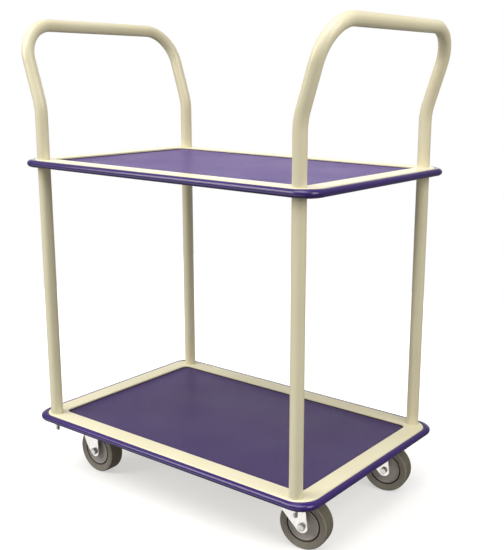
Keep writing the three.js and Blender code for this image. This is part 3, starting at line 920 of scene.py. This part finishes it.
def mat_sheet(name, node):
    """Vinyl sheet with softly rounded cut edges."""
    low, high = node_box(node)
    length, width, radius = high.x * 2, high.y * 2, RECESS_R - (RECESS_L / 2 - high.x)
    bm = bmesh.new()
    loops = []

    def ring(offset, z):
        loops.append(rr_loop(length - 2 * offset, width - 2 * offset, radius - offset, z, 12))

    ring(3.0, low.z)
    ring(0.4, low.z)
    ring(0.0, low.z + 0.4)
    for a in (0, 22.5, 45, 67.5, 90):
        r = 0.9
        ring(r - r * math.cos(math.radians(a)), high.z - r + r * math.sin(math.radians(a)))
    ring(6.0, high.z)
    loft(bm, loops)
    sheet = put(to_object(name, bm), "trolley", "deck_mat", VINYL, node)
    # The cut edge shows the sheet's black backing, and is drawn dark also as painted shade in the gap to the recess
    # wall.
    sheet.data.materials.append(GLUE_AND_SHADE)
    for f in sheet.data.polygons:
        if f.center.z / MM < high.z - 0.45:
            f.material_index = 1
    return sheet


mat_sheet("lower_vinyl_mat", "lower_mat")
mat_sheet("upper_vinyl_mat", "upper_mat")


def bumper_strip(name, node):
    """D strip with a lip along its upper and lower edges."""
    low, high = node_box(node)
    z1, z0 = high.z - 0.4, low.z
    t = (BUMPER_L - DECK_L) / 2
    r = 6.6
    outline = [(GAP, z0 + 0.5), (GAP + 0.5, z0)]
    outline += [(t - r - 1.6, z0), (t - r - 1.2, z0 + 0.28), (t - r - 0.7, z0 + 0.05)]
    outline += arc(t - r, z0 + r, r, -90, 0, 9)
    outline += arc(t - r, z1 - r, r, 0, 90, 9)
    outline += [(t - r - 0.7, z1 - 0.05), (t - r - 1.2, z1 - 0.28), (t - r - 1.6, z1)]
    outline += [(GAP + 0.5, z1), (GAP, z1 - 0.5)]
    bm = bmesh.new()
    # The strip swells a little where it is pulled round each corner.
    loops, n, middle = [], 16, (z0 + z1) / 2
    for o, z in outline:
        radius = DECK_R + o - (DECK_R + t - BUMPER_R) * (o - GAP) / (t - GAP)
        loops.append(
            [
                (x, y, middle + (z - middle) * (1 + 0.10 * math.sin(math.pi * (k % (n + 1)) / n)))
                for k, (x, y, _) in enumerate(rr_loop(DECK_L + 2 * o, DECK_W + 2 * o, radius, z, n))
            ]
        )
    loft(bm, loops, close=True)
    return put(to_object(name, bm, 40), "trolley", "bumper", PVC, node)


bumper_strip("lower_bumper_strip", "lower_bumper")
bumper_strip("upper_bumper_strip", "upper_bumper")

# -------------------------------------------------------------------- handles


def bent_path(points, radii, steps):
    """Points and directions along straight runs and round bends."""
    p = [Vector(v) for v in points]
    knots = [(p[0], (p[1] - p[0]).normalized())]
    for i in range(1, len(p) - 1):
        u, v = (p[i - 1] - p[i]).normalized(), (p[i + 1] - p[i]).normalized()
        half = math.acos(max(-1.0, min(1.0, u.dot(v)))) / 2
        r = radii[i - 1]
        start = p[i] + u * (r / math.tan(half))
        centre = p[i] + (u + v).normalized() * (r / math.sin(half))
        e1, e2 = (start - centre).normalized(), -u
        sweep = math.pi - 2 * half
        for k in range(steps[i - 1] + 1):
            a = sweep * k / steps[i - 1]
            knots.append(
                (
                    centre + e1 * (r * math.cos(a)) + e2 * (r * math.sin(a)),
                    (e2 * math.cos(a) - e1 * math.sin(a)).normalized(),
                )
            )
    knots.append((p[-1], (p[-1] - p[-2]).normalized()))
    return knots


def handle(side):
    foot = SOCKET_BOTTOM + 2.5 + GAP
    knots = bent_path(
        [
            (side * LEG_X, -LEG_Y, foot),
            (side * LEG_X, -LEG_Y, BEND_Z),
            (side * (LEG_X + LEAN), -LEG_Y, GRIP_Z),
            (side * (LEG_X + LEAN), LEG_Y, GRIP_Z),
            (side * LEG_X, LEG_Y, BEND_Z),
            (side * LEG_X, LEG_Y, foot),
        ],
        [BEND_R, CORNER_R, CORNER_R, BEND_R],
        [10, 22, 22, 10],
    )
    sides = 48
    bm = bmesh.new()
    loops = []
    x_axis = Vector((1, 0, 0))
    before = None
    for i, (c, t) in enumerate(knots):
        if before is not None:
            x_axis = before.rotation_difference(t) @ x_axis
        before = t
        x_axis = (x_axis - t * x_axis.dot(t)).normalized()
        y_axis = t.cross(x_axis)

        def ring(radius, shift):
            loops.append(
                [
                    tuple(
                        c
                        + t * shift
                        + x_axis * (radius * math.cos(2 * math.pi * k / sides))
                        + y_axis * (radius * math.sin(2 * math.pi * k / sides))
                    )
                    for k in range(sides)
                ]
            )

        if i == 0:
            ring(TUBE_R - 0.8, 0.0)
            ring(TUBE_R - 0.2, 0.2)
            ring(TUBE_R, 0.8)
        elif i == len(knots) - 1:
            ring(TUBE_R, -0.8)
            ring(TUBE_R - 0.2, -0.2)
            ring(TUBE_R - 0.8, 0.0)
        else:
            ring(TUBE_R, 0.0)
    loft(bm, loops)
    tube = to_object(f"handle_tube_{side}", bm)
    cuts = []
    for i, sy in enumerate((-1, 1)):
        x, y = side * LEG_X, sy * LEG_Y
        cuts.append(
            lathe(f"vent_{i}", [(0, foot - 2), (1.6, foot - 2), (1.6, foot + 9), (0, foot + 9)], 16, "Z", (x - side * 7.4, y, 0))
        )
        lo, hi = sorted((x - side * 9.2, x - side * 15.0))
        cuts.append(lathe(f"tap_{i}", [(0, lo), (3.2, lo), (3.2, hi), (0, hi)], 24, "X", (0, y, SCREW_Z)))
    boolean(tube, cuts)
    return tube


leg_stud = thread("leg_stud_template", 4.0, 1.25, 22.4, sides=32, tip=1.3)
STUD_END = node_box("front_handle")[0].z
for side, word in ((-1, "front"), (1, "rear")):
    tube = handle(side)
    studs = [
        copy_of(leg_stud, f"leg_stud_{word}_{sy}", place(side * LEG_X, sy * LEG_Y, STUD_END))
        for sy in (-1, 1)
    ]
    o = joined(f"{word}_handle_tube", [tube] + studs)
    put(o, "trolley", "cream_paint", CREAM, f"{word}_handle")
    o.data.materials.append(ZINC_DARKER)
    foot = (SOCKET_BOTTOM + 2.6) * MM
    for f in o.data.polygons:
        if max(o.data.vertices[v].co.z for v in f.vertices) < foot:
            f.material_index = 1

# ------------------------------------------------------------------ fasteners


def hexagon(half):
    r = half / math.cos(math.pi / 6)
    return [(r * math.cos(math.pi * k / 3), r * math.sin(math.pi * k / 3)) for k in range(6)]


def hex_body(name, half, height, top=True, bottom=True, bore=None):
    """Hexagon from z = 0 up to height, its corners chamfered at 30 degrees."""
    body = prism(name, hexagon(half), 0, height)
    corner = half / math.cos(math.pi / 6)
    c = (corner - half * 0.95) * math.tan(math.radians(30))
    profile = [(0, 0)]
    profile += [(half * 0.95, 0), (corner + 0.01, c)] if bottom else [(corner + 0.01, 0)]
    profile += [(corner + 0.01, height - c), (half * 0.95, height)] if top else [(corner + 0.01, height)]
    profile += [(0, height)]
    cone = lathe(name + "_cone", profile, 48)
    boolean(body, [cone], "INTERSECT")
    if bore:
        hole = lathe(
            name + "_bore",
            [(0, -1), (bore + 0.5, -0.2), (bore + 0.45, 0), (bore, 0.45), (bore, height - 0.45), (bore + 0.45, height), (bore + 0.5, height + 0.2), (0, height + 1)],
            28,
        )
        boolean(body, [hole])
    return body


bolt_flange = lathe(
    "bolt_flange",
    [(0, 5.0), (7.2, 5.0), (7.8, 5.4), (8.0, 5.9), (8.0, 6.5), (7.8, 6.8), (0, 6.8)],
    48,
)
bolt_shank = thread("bolt_thread", 4.0, 1.25, 9.4, sides=20, tip=1.1)
bolt_shank.data.transform(place(0, 0, 17.1, ROT_X(180)))
plate_bolt = joined(
    "plate_bolt_template",
    [hex_body("bolt_hex", 6.5, 5.3, bottom=True, top=False), bolt_flange, bolt_shank],
)
flange = lathe(
    "flange_template",
    [(4.15, 5.2), (7.6, 5.2), (8.4, 5.9), (8.6, 6.2), (8.6, 6.6), (8.4, 6.8), (4.15, 6.8)],
    48,
)
flange_nut = joined("flange_nut_template", [hex_body("flange_hex", 6.5, 5.4, top=False, bore=4.15), flange])
nyloc_ring = lathe(
    "nyloc_template",
    [(4.1, 5.6), (6.2, 5.6), (6.2, 7.1), (5.9, 7.7), (5.3, 8.0), (4.4, 8.0), (4.1, 7.8)],
    40,
)
axle_nut = joined("axle_nut_template", [hex_body("axle_hex", 6.5, 5.8, bore=4.15), nyloc_ring])

for corner, sx, sy in CORNERS:
    x, y = sx * LEG_X, sy * LEG_Y
    o = copy_of(flange_nut, f"{corner}_flange_nut", place(x, y, SOCKET_BOTTOM - GAP - 6.8, ROT_Z(rng.uniform(0, 8))))
    put(o, "trolley", "zinc", ZINC, f"{corner}_leg_nut")
    px = FIXED_X if sx < 0 else SWIVEL_X
    n = 0
    for bx in (-1, 1):
        for by in (-1, 1):
            n += 1
            o = copy_of(
                plate_bolt,
                f"{corner}_m8_bolt_{n}",
                place(
                    px + bx * BOLT_X,
                    sy * CASTER_Y + by * BOLT_Y,
                    PLATE_TOP - PLATE_T - GAP - 6.8,
                    ROT_Z(rng.uniform(-14, 14)),
                ),
            )
            put(o, "trolley", "zinc", ZINC, f"{corner}_plate_bolt_{n}")
    # Locking screw of the upper deck: its head faces the deck's middle.
    head = hex_body("screw_head", 5.0, 4.0, bottom=False)
    washer = lathe("screw_washer", [(0, -0.28), (4.7, -0.28), (4.8, -0.1), (4.8, 0.02), (0, 0.02)], 32)
    shank = lathe("screw_shank", [(0, -5.6), (2.4, -5.6), (2.95, -5.0), (2.95, 0.01), (0, 0.01)], 24)
    screw = joined(f"{corner}_hex_screw", [head, washer, shank])
    face = x - sx * (SOCKET_R + GAP)
    screw.data.transform(place(face, y, SCREW_Z, ROT_Y(-90 * sx)))
    put(screw, "trolley", "zinc", ZINC, f"{corner}_deck_screw")

# -------------------------------------------------------------------- casters


def mount_plate(name):
    """Caster plate with rounded corners and four stud holes."""
    low = PLATE_TOP - PLATE_T
    p = prism(name, rr2(PLATE_L, PLATE_W, 8.0), low, PLATE_TOP)
    holes = []
    for bx in (-1, 1):
        for by in (-1, 1):
            holes.append(
                lathe(
                    f"{name}_hole_{bx}_{by}",
                    [(0, low - 1), (4.3, low - 1), (4.3, PLATE_TOP + 1), (0, PLATE_TOP + 1)],
                    24,
                    "Z",
                    (bx * BOLT_X, by * BOLT_Y, 0),
                )
            )
    boolean(p, holes)
    return bevelled(p, 0.45, 2)


def cheeks(name, side_outline, ax, top, crown, bend=4.6):
    """Pressed U: two cheeks and a crown from one bent sheet, cut to an outline."""
    out = FORK_GAP / 2 + CHEEK_T
    inn = FORK_GAP / 2
    u = rounded(
        [(-out, 20), (-out, top), (out, top), (out, 20), (inn, 20), (inn, top - crown), (-inn, top - crown), (-inn, 20)],
        [0, bend, bend, 0, 0, bend - CHEEK_T, bend - CHEEK_T, 0],
        6,
    )
    channel = prism(name, u, -60, 90, "YZ")
    cutter = prism(name + "_outline", side_outline, -40, 40, "XZ")
    boolean(channel, [cutter], "INTERSECT")
    bevelled(channel, 0.5, 2)
    hole = lathe(name + "_axle_hole", [(0, -40), (4.3, -40), (4.3, 40), (0, 40)], 28, "Y", (ax, 0, AXLE_Z))
    return boolean(channel, [hole])


def axle_arc(ax, a0, a1, n=14):
    return arc(ax, AXLE_Z, CHEEK_ROUND, a0, a1, n)


def fixed_bracket():
    low = PLATE_TOP - PLATE_T
    ax = FIXED_OFFSET
    corners = [
        (ax + 20, low + 0.05),
        (ax - 36, low + 0.05),
        (ax - 36, 100),
        (ax - 31, 76),
        (ax - 22, 57),
    ]
    round_end = axle_arc(ax, 206, 354)
    outline = rounded(corners + [round_end[0]], [0, 0, 16, 30, 26, 0], 6)[:-1]
    outline += round_end
    outline += rounded([round_end[-1], (ax + 11.5, 80), (ax + 20, 102), (ax + 20, low + 0.05)], [0, 22, 10, 0], 6)[1:-1]
    b = cheeks("fixed_cheeks", outline, ax, low + 0.05, 2.5)
    cuts = []
    for bx in (-1, 1):
        for by in (-1, 1):
            cuts.append(
                lathe(
                    f"clear_{bx}_{by}",
                    [(0, low - 11), (8.6, low - 11), (8.6, low), (0, low)],
                    36,
                    "Z",
                    (bx * BOLT_X, by * BOLT_Y, 0),
                )
            )
    boolean(b, cuts)
    return joined("fixed_bracket_template", [mount_plate("fixed_plate"), b])


def swivel_plate():
    low = PLATE_TOP - PLATE_T
    p = mount_plate("swivel_plate_sheet")
    race = lathe(
        "upper_race",
        [(20.5, low + 0.05), (20.5, low - 1.9), (20.9, low - 2.4), (21.6, low - 2.6), (25.4, low - 2.6), (26.4, low - 2.2), (26.9, low - 1.3), (27.0, low - 0.4), (27.8, low + 0.05)],
        64,
    )
    bore = lathe("sink", [(0, low - 1), (6.5, low - 1), (6.5, low + 0.2), (11.4, PLATE_TOP + 0.4), (0, PLATE_TOP + 0.4)], 40)
    boolean(p, [bore])
    return joined("swivel_plate_template", [p, race])


def kingpin():
    under = CROWN_TOP - CROWN_T - GAP
    return lathe(
        "kingpin_template",
        [
            (0, 105.5),
            (6.4, 105.5),
            (7.5, 106.1),
            (8.0, 107.2),
            (8.0, under - 3.2),
            (8.6, under - 3.0),
            (14.2, under - 3.0),
            (14.8, under - 2.6),
            (15.0, under - 2.0),
            (15.0, under - 0.4),
            (14.6, under),
            (6.0, under),
            (6.0, PLATE_TOP - GAP - 2.1),
            (9.2, PLATE_TOP - GAP),
            (0, PLATE_TOP - GAP),
        ],
        48,
    )


def fork():
    outline = [(19, CROWN_TOP), (-19, CROWN_TOP), (-27, 110), (-27, 103)]
    round_end = axle_arc(TRAIL, 222, 350)
    outline = rounded(outline + [round_end[0]], [0, 4, 6, 14, 0], 6)[:-1]
    outline += round_end
    outline += rounded([round_end[-1], (TRAIL + 8, 84), (31, 103), (19, CROWN_TOP)], [0, 26, 12, 0], 6)[1:-1]
    f = cheeks("fork_cheeks", outline, TRAIL, CROWN_TOP, CROWN_T)
    disc = lathe(
        "crown",
        [
            (0, CROWN_TOP - CROWN_T),
            (27.7, CROWN_TOP - CROWN_T),
            (28.3, CROWN_TOP - CROWN_T + 0.3),
            (28.5, CROWN_TOP - CROWN_T + 0.9),
            (28.5, CROWN_TOP + 1.4),
            (28.2, CROWN_TOP + 2.3),
            (27.4, CROWN_TOP + 2.8),
            (26.6, CROWN_TOP + 2.9),
            (23.2, CROWN_TOP + 2.9),
            (22.2, CROWN_TOP + 2.6),
            (21.6, CROWN_TOP + 1.6),
            (21.4, CROWN_TOP),
            (0, CROWN_TOP),
        ],
        72,
    )
    boolean(f, [disc], "UNION")
    hole = lathe("king_hole", [(0, 100), (6.6, 100), (6.6, 125), (0, 125)], 36)
    boolean(f, [hole])
    f.name = "fork_template"
    return f


def tyre():
    h = 16.0
    i = 33.3
    face = [(i + 0.9, 13.1), (34.8, 13.9), (35.4, 14.2), (36.0, 14.05), (36.5, 14.35)]
    face += [(40.0, 14.95), (43.4, 15.55), (43.8, 15.35), (44.3, 15.68)]
    face += [(x, y) for x, y in arc(46.0, h - 3.6, 3.6, 90, 12, 9)]
    face += [(49.72, h - 5.4), (49.9, h - 7.2), (50.0, h - 9.6)]
    profile = [(i, -12.2), (i + 0.35, -12.9)] + [(r, -y) for r, y in face]
    profile += [(50.0, -0.45), (49.75, -0.25), (49.75, 0.25), (50.0, 0.45)]
    profile += [(r, y) for r, y in reversed(face)] + [(i + 0.35, 12.9), (i, 12.2)]
    return lathe("tyre_template", profile, 120, "Y", sharp=50)


def core():
    boss = FORK_GAP / 2 - 1
    face = [
        (6.35, boss - 0.4),
        (6.75, boss),
        (10.0, boss),
        (10.7, boss - 0.5),
        (10.95, boss - 1.6),
        (11.25, 12.9),
        (11.9, 12.15),
        (13.0, 11.85),
        (19.2, 11.8),
        (19.5, 11.5),
        (20.1, 11.5),
        (20.4, 11.8),
        (27.0, 11.8),
        (28.1, 12.1),
        (28.7, 12.8),
        (29.2, 13.4),
        (29.8, 13.6),
        (31.5, 13.6),
        (32.2, 13.1),
        (32.7, 12.2),
    ]
    profile = [(r, -y) for r, y in face] + [(r, y) for r, y in reversed(face)]
    return lathe("core_template", profile, 96, "Y", sharp=50)


def bush():
    e = FORK_GAP / 2 - GAP
    return lathe("bush_template", [(4.3, -e), (5.7, -e), (5.95, -e + 0.25), (5.95, e - 0.25), (5.7, e), (4.3, e)], 40, "Y")


def axle_bolt():
    out = FORK_GAP / 2 + CHEEK_T
    head = hex_body("axle_head", 6.5, 5.0, bottom=True, top=False)
    head.data.transform(place(0, -(out + GAP + 5.3), 0, ROT_X(-90)))
    washer = lathe("axle_washer", [(0, -(out + GAP + 0.35)), (6.2, -(out + GAP + 0.35)), (6.3, -(out + GAP + 0.2)), (6.3, -(out + GAP)), (0, -(out + GAP))], 40, "Y")
    shank = lathe("axle_shank", [(0, -(out + GAP + 0.1)), (4.0, -(out + GAP + 0.1)), (4.0, 20.0), (3.7, 20.4), (0, 20.4)], 32, "Y")
    end = thread("axle_thread", 4.0, 1.25, 12.4, sides=24, tip=1.1)
    end.data.transform(place(0, out + GAP + 10, 0, ROT_X(90)))
    return joined("axle_bolt_template", [head, washer, shank, end])


def tread_rubber_dirt_and_shade():
    """The same rubber, darker and browner on the running face: floor dirt, and painted shade for the tread under the
    deck.
    """
    m = Nodes("tread_rubber_dirt_and_shade")
    drift = m.span(m.noise(34.0, 5.0, 0.65), 0.3, 0.7, 0.0, 1.0)
    base = m.colours(drift, (0.150, 0.132, 0.095), (0.205, 0.184, 0.142))
    dirt = m.span(m.noise(150.0, 6.0, 0.7), 0.50, 0.76, 0.0, 0.6, True)
    base = m.colours(dirt, base, (0.098, 0.086, 0.058))
    normal = m.bump(m.noise(1200.0, 3.0, 0.6), 0.28, 0.00014)
    normal = m.bump(m.noise(240.0, 4.0, 0.6), 0.22, 0.0004, normal)
    m.set(Base_Color=base, Roughness=m.span(m.noise(160.0, 4.0), 0.3, 0.7, 0.60, 0.80), Normal=normal)
    m.bsdf.inputs["IOR"].default_value = 1.52
    return m.material


TREAD_DIRT_AND_SHADE = tread_rubber_dirt_and_shade()


def dirty_shaded_joint(o, frame, low, high):
    """Marks the faces between two radii of the wheel as joint dirt and painted groove shade."""
    o.data.materials.append(GROOVE_DIRT_AND_SHADE)
    back = frame.inverted()
    for f in o.data.polygons:
        c = (back @ f.center) / MM
        if low < math.hypot(c.x, c.z) < high:
            f.material_index = 1


BRACKET_T, SPLATE_T, KINGPIN_T, FORK_T = fixed_bracket(), swivel_plate(), kingpin(), fork()
TYRE_T, CORE_T, BUSH_T, BOLT_T = tyre(), core(), bush(), axle_bolt()

for corner, sx, sy in CORNERS:
    cy = sy * CASTER_Y
    if sx < 0:
        plate_frame = place(FIXED_X, cy, 0)
        wheel_frame = place(FIXED_X + FIXED_OFFSET, cy, AXLE_Z)
        carrier = "trolley"
        put(copy_of(BRACKET_T, f"{corner}_bracket", plate_frame), "trolley", "zinc", ZINC, f"{corner}_fixed_bracket")
    else:
        plate_frame = place(SWIVEL_X, cy, 0)
        turn = plate_frame @ ROT_Z(SWIVEL_REST)
        wheel_frame = turn @ place(TRAIL, 0, AXLE_Z)
        carrier = f"{corner}_swivel"
        put(copy_of(SPLATE_T, f"{corner}_top_plate", plate_frame), "trolley", "zinc", ZINC, f"{corner}_swivel_plate")
        put(copy_of(KINGPIN_T, f"{corner}_king_rivet", plate_frame), "trolley", "zinc", ZINC_DARKER, f"{corner}_kingpin")
        put(copy_of(FORK_T, f"{corner}_fork_pressing", turn), carrier, "zinc", ZINC, f"{corner}_fork")
    wheel = f"{corner}_wheel"
    o = put(copy_of(TYRE_T, f"{corner}_rubber_tyre", wheel_frame), wheel, "tyre", RUBBER, f"{corner}_tyre")
    # Dirt and painted shade: a dark band round the tyre's joint with the core.
    dirty_shaded_joint(o, wheel_frame, 30.0, 34.7)
    o.data.materials.append(TREAD_DIRT_AND_SHADE)
    # Dirt and painted shade: the running face takes the darker tread rubber.
    back = wheel_frame.inverted()
    for f in o.data.polygons:
        c = (back @ f.center) / MM
        if math.hypot(c.x, c.z) > 48.9:
            f.material_index = 2
    o = put(copy_of(CORE_T, f"{corner}_core_moulding", wheel_frame), wheel, "wheel_core", CORE, f"{corner}_wheel_core")
    # Dirt and painted shade: the same dark band on the core's rim.
    dirty_shaded_joint(o, wheel_frame, 31.7, 34.0)
    put(copy_of(BUSH_T, f"{corner}_sleeve", wheel_frame), carrier, "zinc", ZINC_DARKER, f"{corner}_bush")
    put(copy_of(BOLT_T, f"{corner}_axle_screw", wheel_frame @ ROT_Y(rng.uniform(0, 50))), carrier, "zinc", ZINC_BOLT, f"{corner}_axle_bolt")
    nut_frame = wheel_frame @ place(0, FORK_GAP / 2 + CHEEK_T + GAP, 0, ROT_X(-90))
    put(copy_of(axle_nut, f"{corner}_nyloc_nut", nut_frame), carrier, "zinc", ZINC_DARKER, f"{corner}_axle_nut")

drop(leg_stud, plate_bolt, flange_nut, axle_nut)
drop(BRACKET_T, SPLATE_T, KINGPIN_T, FORK_T, TYRE_T, CORE_T, BUSH_T, BOLT_T)

# ---------------------------------------------------------- floor and lights

WORLD_LOW, WORLD_HIGH, WORLD_BACK = 0.22, 0.40, 1.25
CARD = 1.15
SUN_TOP = 2.15
LEFT_W, RIGHT_W = 39.0, 35.0

bm = bmesh.new()
bmesh.ops.create_grid(bm, x_segments=12, y_segments=12, size=1700.0)
floor = to_object("studio_floor", bm)
fm = Nodes("floor_paper")
tone = fm.colours(fm.span(fm.noise(1.4, 2.0), 0.3, 0.7, 0.0, 1.0), (0.62, 0.62, 0.62), (0.64, 0.64, 0.64))
fm.set(Base_Color=tone, Roughness=fm.span(fm.noise(8.0, 2.0), 0.3, 0.7, 0.80, 0.90))
fm.bsdf.inputs["Emission Color"].default_value = (1.0, 1.0, 1.0, 1.0)
fm.bsdf.inputs["Emission Strength"].default_value = 0.50
fm.bsdf.inputs["Specular IOR Level"].default_value = 0.1
floor.data.materials.append(fm.material)
floor.visible_diffuse = False
floor.visible_glossy = False

# A pale studio: dim floor, brighter ceiling and a white backdrop behind the
# trolley (towards -X +Y). What the picture shows of it directly is plain white.
world = bpy.data.worlds.new("studio")
scene.world = world
world.use_nodes = True
wt = world.node_tree
wt.nodes.clear()


def wnode(kind, **values):
    n = wt.nodes.new(kind)
    for k, v in values.items():
        setattr(n, k, v)
    return n


def wspan(value, a0, a1, b0, b1):
    n = wnode("ShaderNodeMapRange")
    n.interpolation_type = "SMOOTHSTEP"
    for key, v in (("From Min", a0), ("From Max", a1), ("To Min", b0), ("To Max", b1)):
        n.inputs[key].default_value = v
    wt.links.new(value, n.inputs["Value"])
    return n.outputs["Result"]


direction = wnode("ShaderNodeTexCoord").outputs["Generated"]
split = wnode("ShaderNodeSeparateXYZ")
wt.links.new(direction, split.inputs[0])
towards = wnode("ShaderNodeVectorMath", operation="DOT_PRODUCT")
wt.links.new(direction, towards.inputs[0])
towards.inputs[1].default_value = (-0.578, 0.816, 0.0)
height = wspan(split.outputs["Z"], -0.35, 0.65, WORLD_LOW, WORLD_HIGH)
drop_cloth = wspan(towards.outputs["Value"], 0.70, 0.97, 0.0, WORLD_BACK)
rise = wspan(split.outputs["Z"], -0.02, 0.05, 0.0, 1.0)
fall = wspan(split.outputs["Z"], 0.16, 0.32, 1.0, 0.0)
band = wnode("ShaderNodeMath", operation="MULTIPLY")
wt.links.new(rise, band.inputs[0])
wt.links.new(fall, band.inputs[1])
product = wnode("ShaderNodeMath", operation="MULTIPLY")
wt.links.new(drop_cloth, product.inputs[0])
wt.links.new(band.outputs[0], product.inputs[1])
backdrop = wnode("ShaderNodeMath", operation="ADD")
wt.links.new(height, backdrop.inputs[0])
wt.links.new(product.outputs[0], backdrop.inputs[1])
# A white card low on the left, which only reflections see: the plated forks
# stand out against it, and the undersides of the bumpers stay dark.
facing = wnode("ShaderNodeVectorMath", operation="DOT_PRODUCT")
wt.links.new(direction, facing.inputs[0])
facing.inputs[1].default_value = (-0.352, -0.936, 0.0)
card = wspan(facing.outputs["Value"], 0.50, 0.78, 0.0, CARD)
for edge in (wspan(split.outputs["Z"], -0.72, -0.56, 0.0, 1.0), wspan(split.outputs["Z"], -0.26, -0.16, 1.0, 0.0), wnode("ShaderNodeLightPath").outputs["Is Glossy Ray"]):
    trimmed = wnode("ShaderNodeMath", operation="MULTIPLY")
    wt.links.new(card, trimmed.inputs[0])
    wt.links.new(edge, trimmed.inputs[1])
    card = trimmed.outputs[0]
total = wnode("ShaderNodeMath", operation="ADD")
wt.links.new(backdrop.outputs[0], total.inputs[0])
wt.links.new(card, total.inputs[1])
ambient = wnode("ShaderNodeBackground")
ambient.inputs["Color"].default_value = (1.0, 0.975, 0.95, 1.0)
wt.links.new(total.outputs[0], ambient.inputs["Strength"])
plain = wnode("ShaderNodeBackground")
plain.inputs["Color"].default_value = (1.0, 1.0, 1.0, 1.0)
plain.inputs["Strength"].default_value = 1.0
choose = wnode("ShaderNodeMixShader")
wt.links.new(wnode("ShaderNodeLightPath").outputs["Is Camera Ray"], choose.inputs[0])
wt.links.new(ambient.outputs[0], choose.inputs[1])
wt.links.new(plain.outputs[0], choose.inputs[2])
wt.links.new(choose.outputs[0], wnode("ShaderNodeOutputWorld").inputs["Surface"])
scene.view_settings.view_transform = "Standard"


def area_light(name, location, target, size, power, colour=(1, 1, 1), size_y=None):
    data = bpy.data.lights.new(name, "AREA")
    data.energy = power
    data.color = colour
    data.size = size
    if size_y:
        data.shape = "RECTANGLE"
        data.size_y = size_y
    o = bpy.data.objects.new(name, data)
    scene.collection.objects.link(o)
    o.location = location
    d = Vector(target) - Vector(location)
    o.rotation_euler = d.to_track_quat("-Z", "Y").to_euler()
    return o


def sun_light(name, direction, strength, angle, colour=(1, 1, 1)):
    data = bpy.data.lights.new(name, "SUN")
    data.energy = strength
    data.color = colour
    data.angle = math.radians(angle)
    o = bpy.data.objects.new(name, data)
    scene.collection.objects.link(o)
    o.rotation_euler = Vector(direction).to_track_quat("-Z", "Y").to_euler()
    o.location = (0, 0, 3)
    return o


# Ceiling softbox, straight down and slightly from the front.
sun_light("ceiling_softbox", (0.10, 0.30, -1.0), SUN_TOP, 50)
# Strip softboxes left and right of the camera.
area_light("left_softbox", (-1.55, -1.95, 1.85), (-0.15, 0, 0.40), 1.3, LEFT_W, (1.0, 0.96, 0.90), 1.9)
area_light("right_softbox", (2.45, -0.35, 1.95), (0.25, 0, 0.40), 1.3, RIGHT_W, (1.0, 0.95, 0.89), 1.9)

# --------------------------------------------------------------------- camera

yaw, pitch, roll = (math.radians(a) for a in (35.305, 13.043, 0.841))
back = Vector((math.sin(yaw) * math.cos(pitch), -math.cos(yaw) * math.cos(pitch), math.sin(pitch)))
right = Vector((math.cos(yaw), math.sin(yaw), 0.0))
up = right.cross(-back)
r2 = right * math.cos(roll) + up * math.sin(roll)
u2 = up * math.cos(roll) - right * math.sin(roll)
cam_data = bpy.data.cameras.new("camera")
cam = bpy.data.objects.new("camera", cam_data)
scene.collection.objects.link(cam)
cam.matrix_world = Matrix(
    (
        (r2.x, u2.x, back.x, 1.17495),
        (r2.y, u2.y, back.y, -1.37761),
        (r2.z, u2.z, back.z, 0.88244),
        (0, 0, 0, 1),
    )
)
cam_data.sensor_fit = "AUTO"
cam_data.sensor_width = 36.0
cam_data.lens = 881.1 / 550 * 36.0
cam_data.shift_x = -(310.03 - 252) / 550
cam_data.shift_y = -(275 - 272.92) / 550
cam_data.clip_start = 0.01
cam_data.clip_end = 100
scene.camera = cam

import json
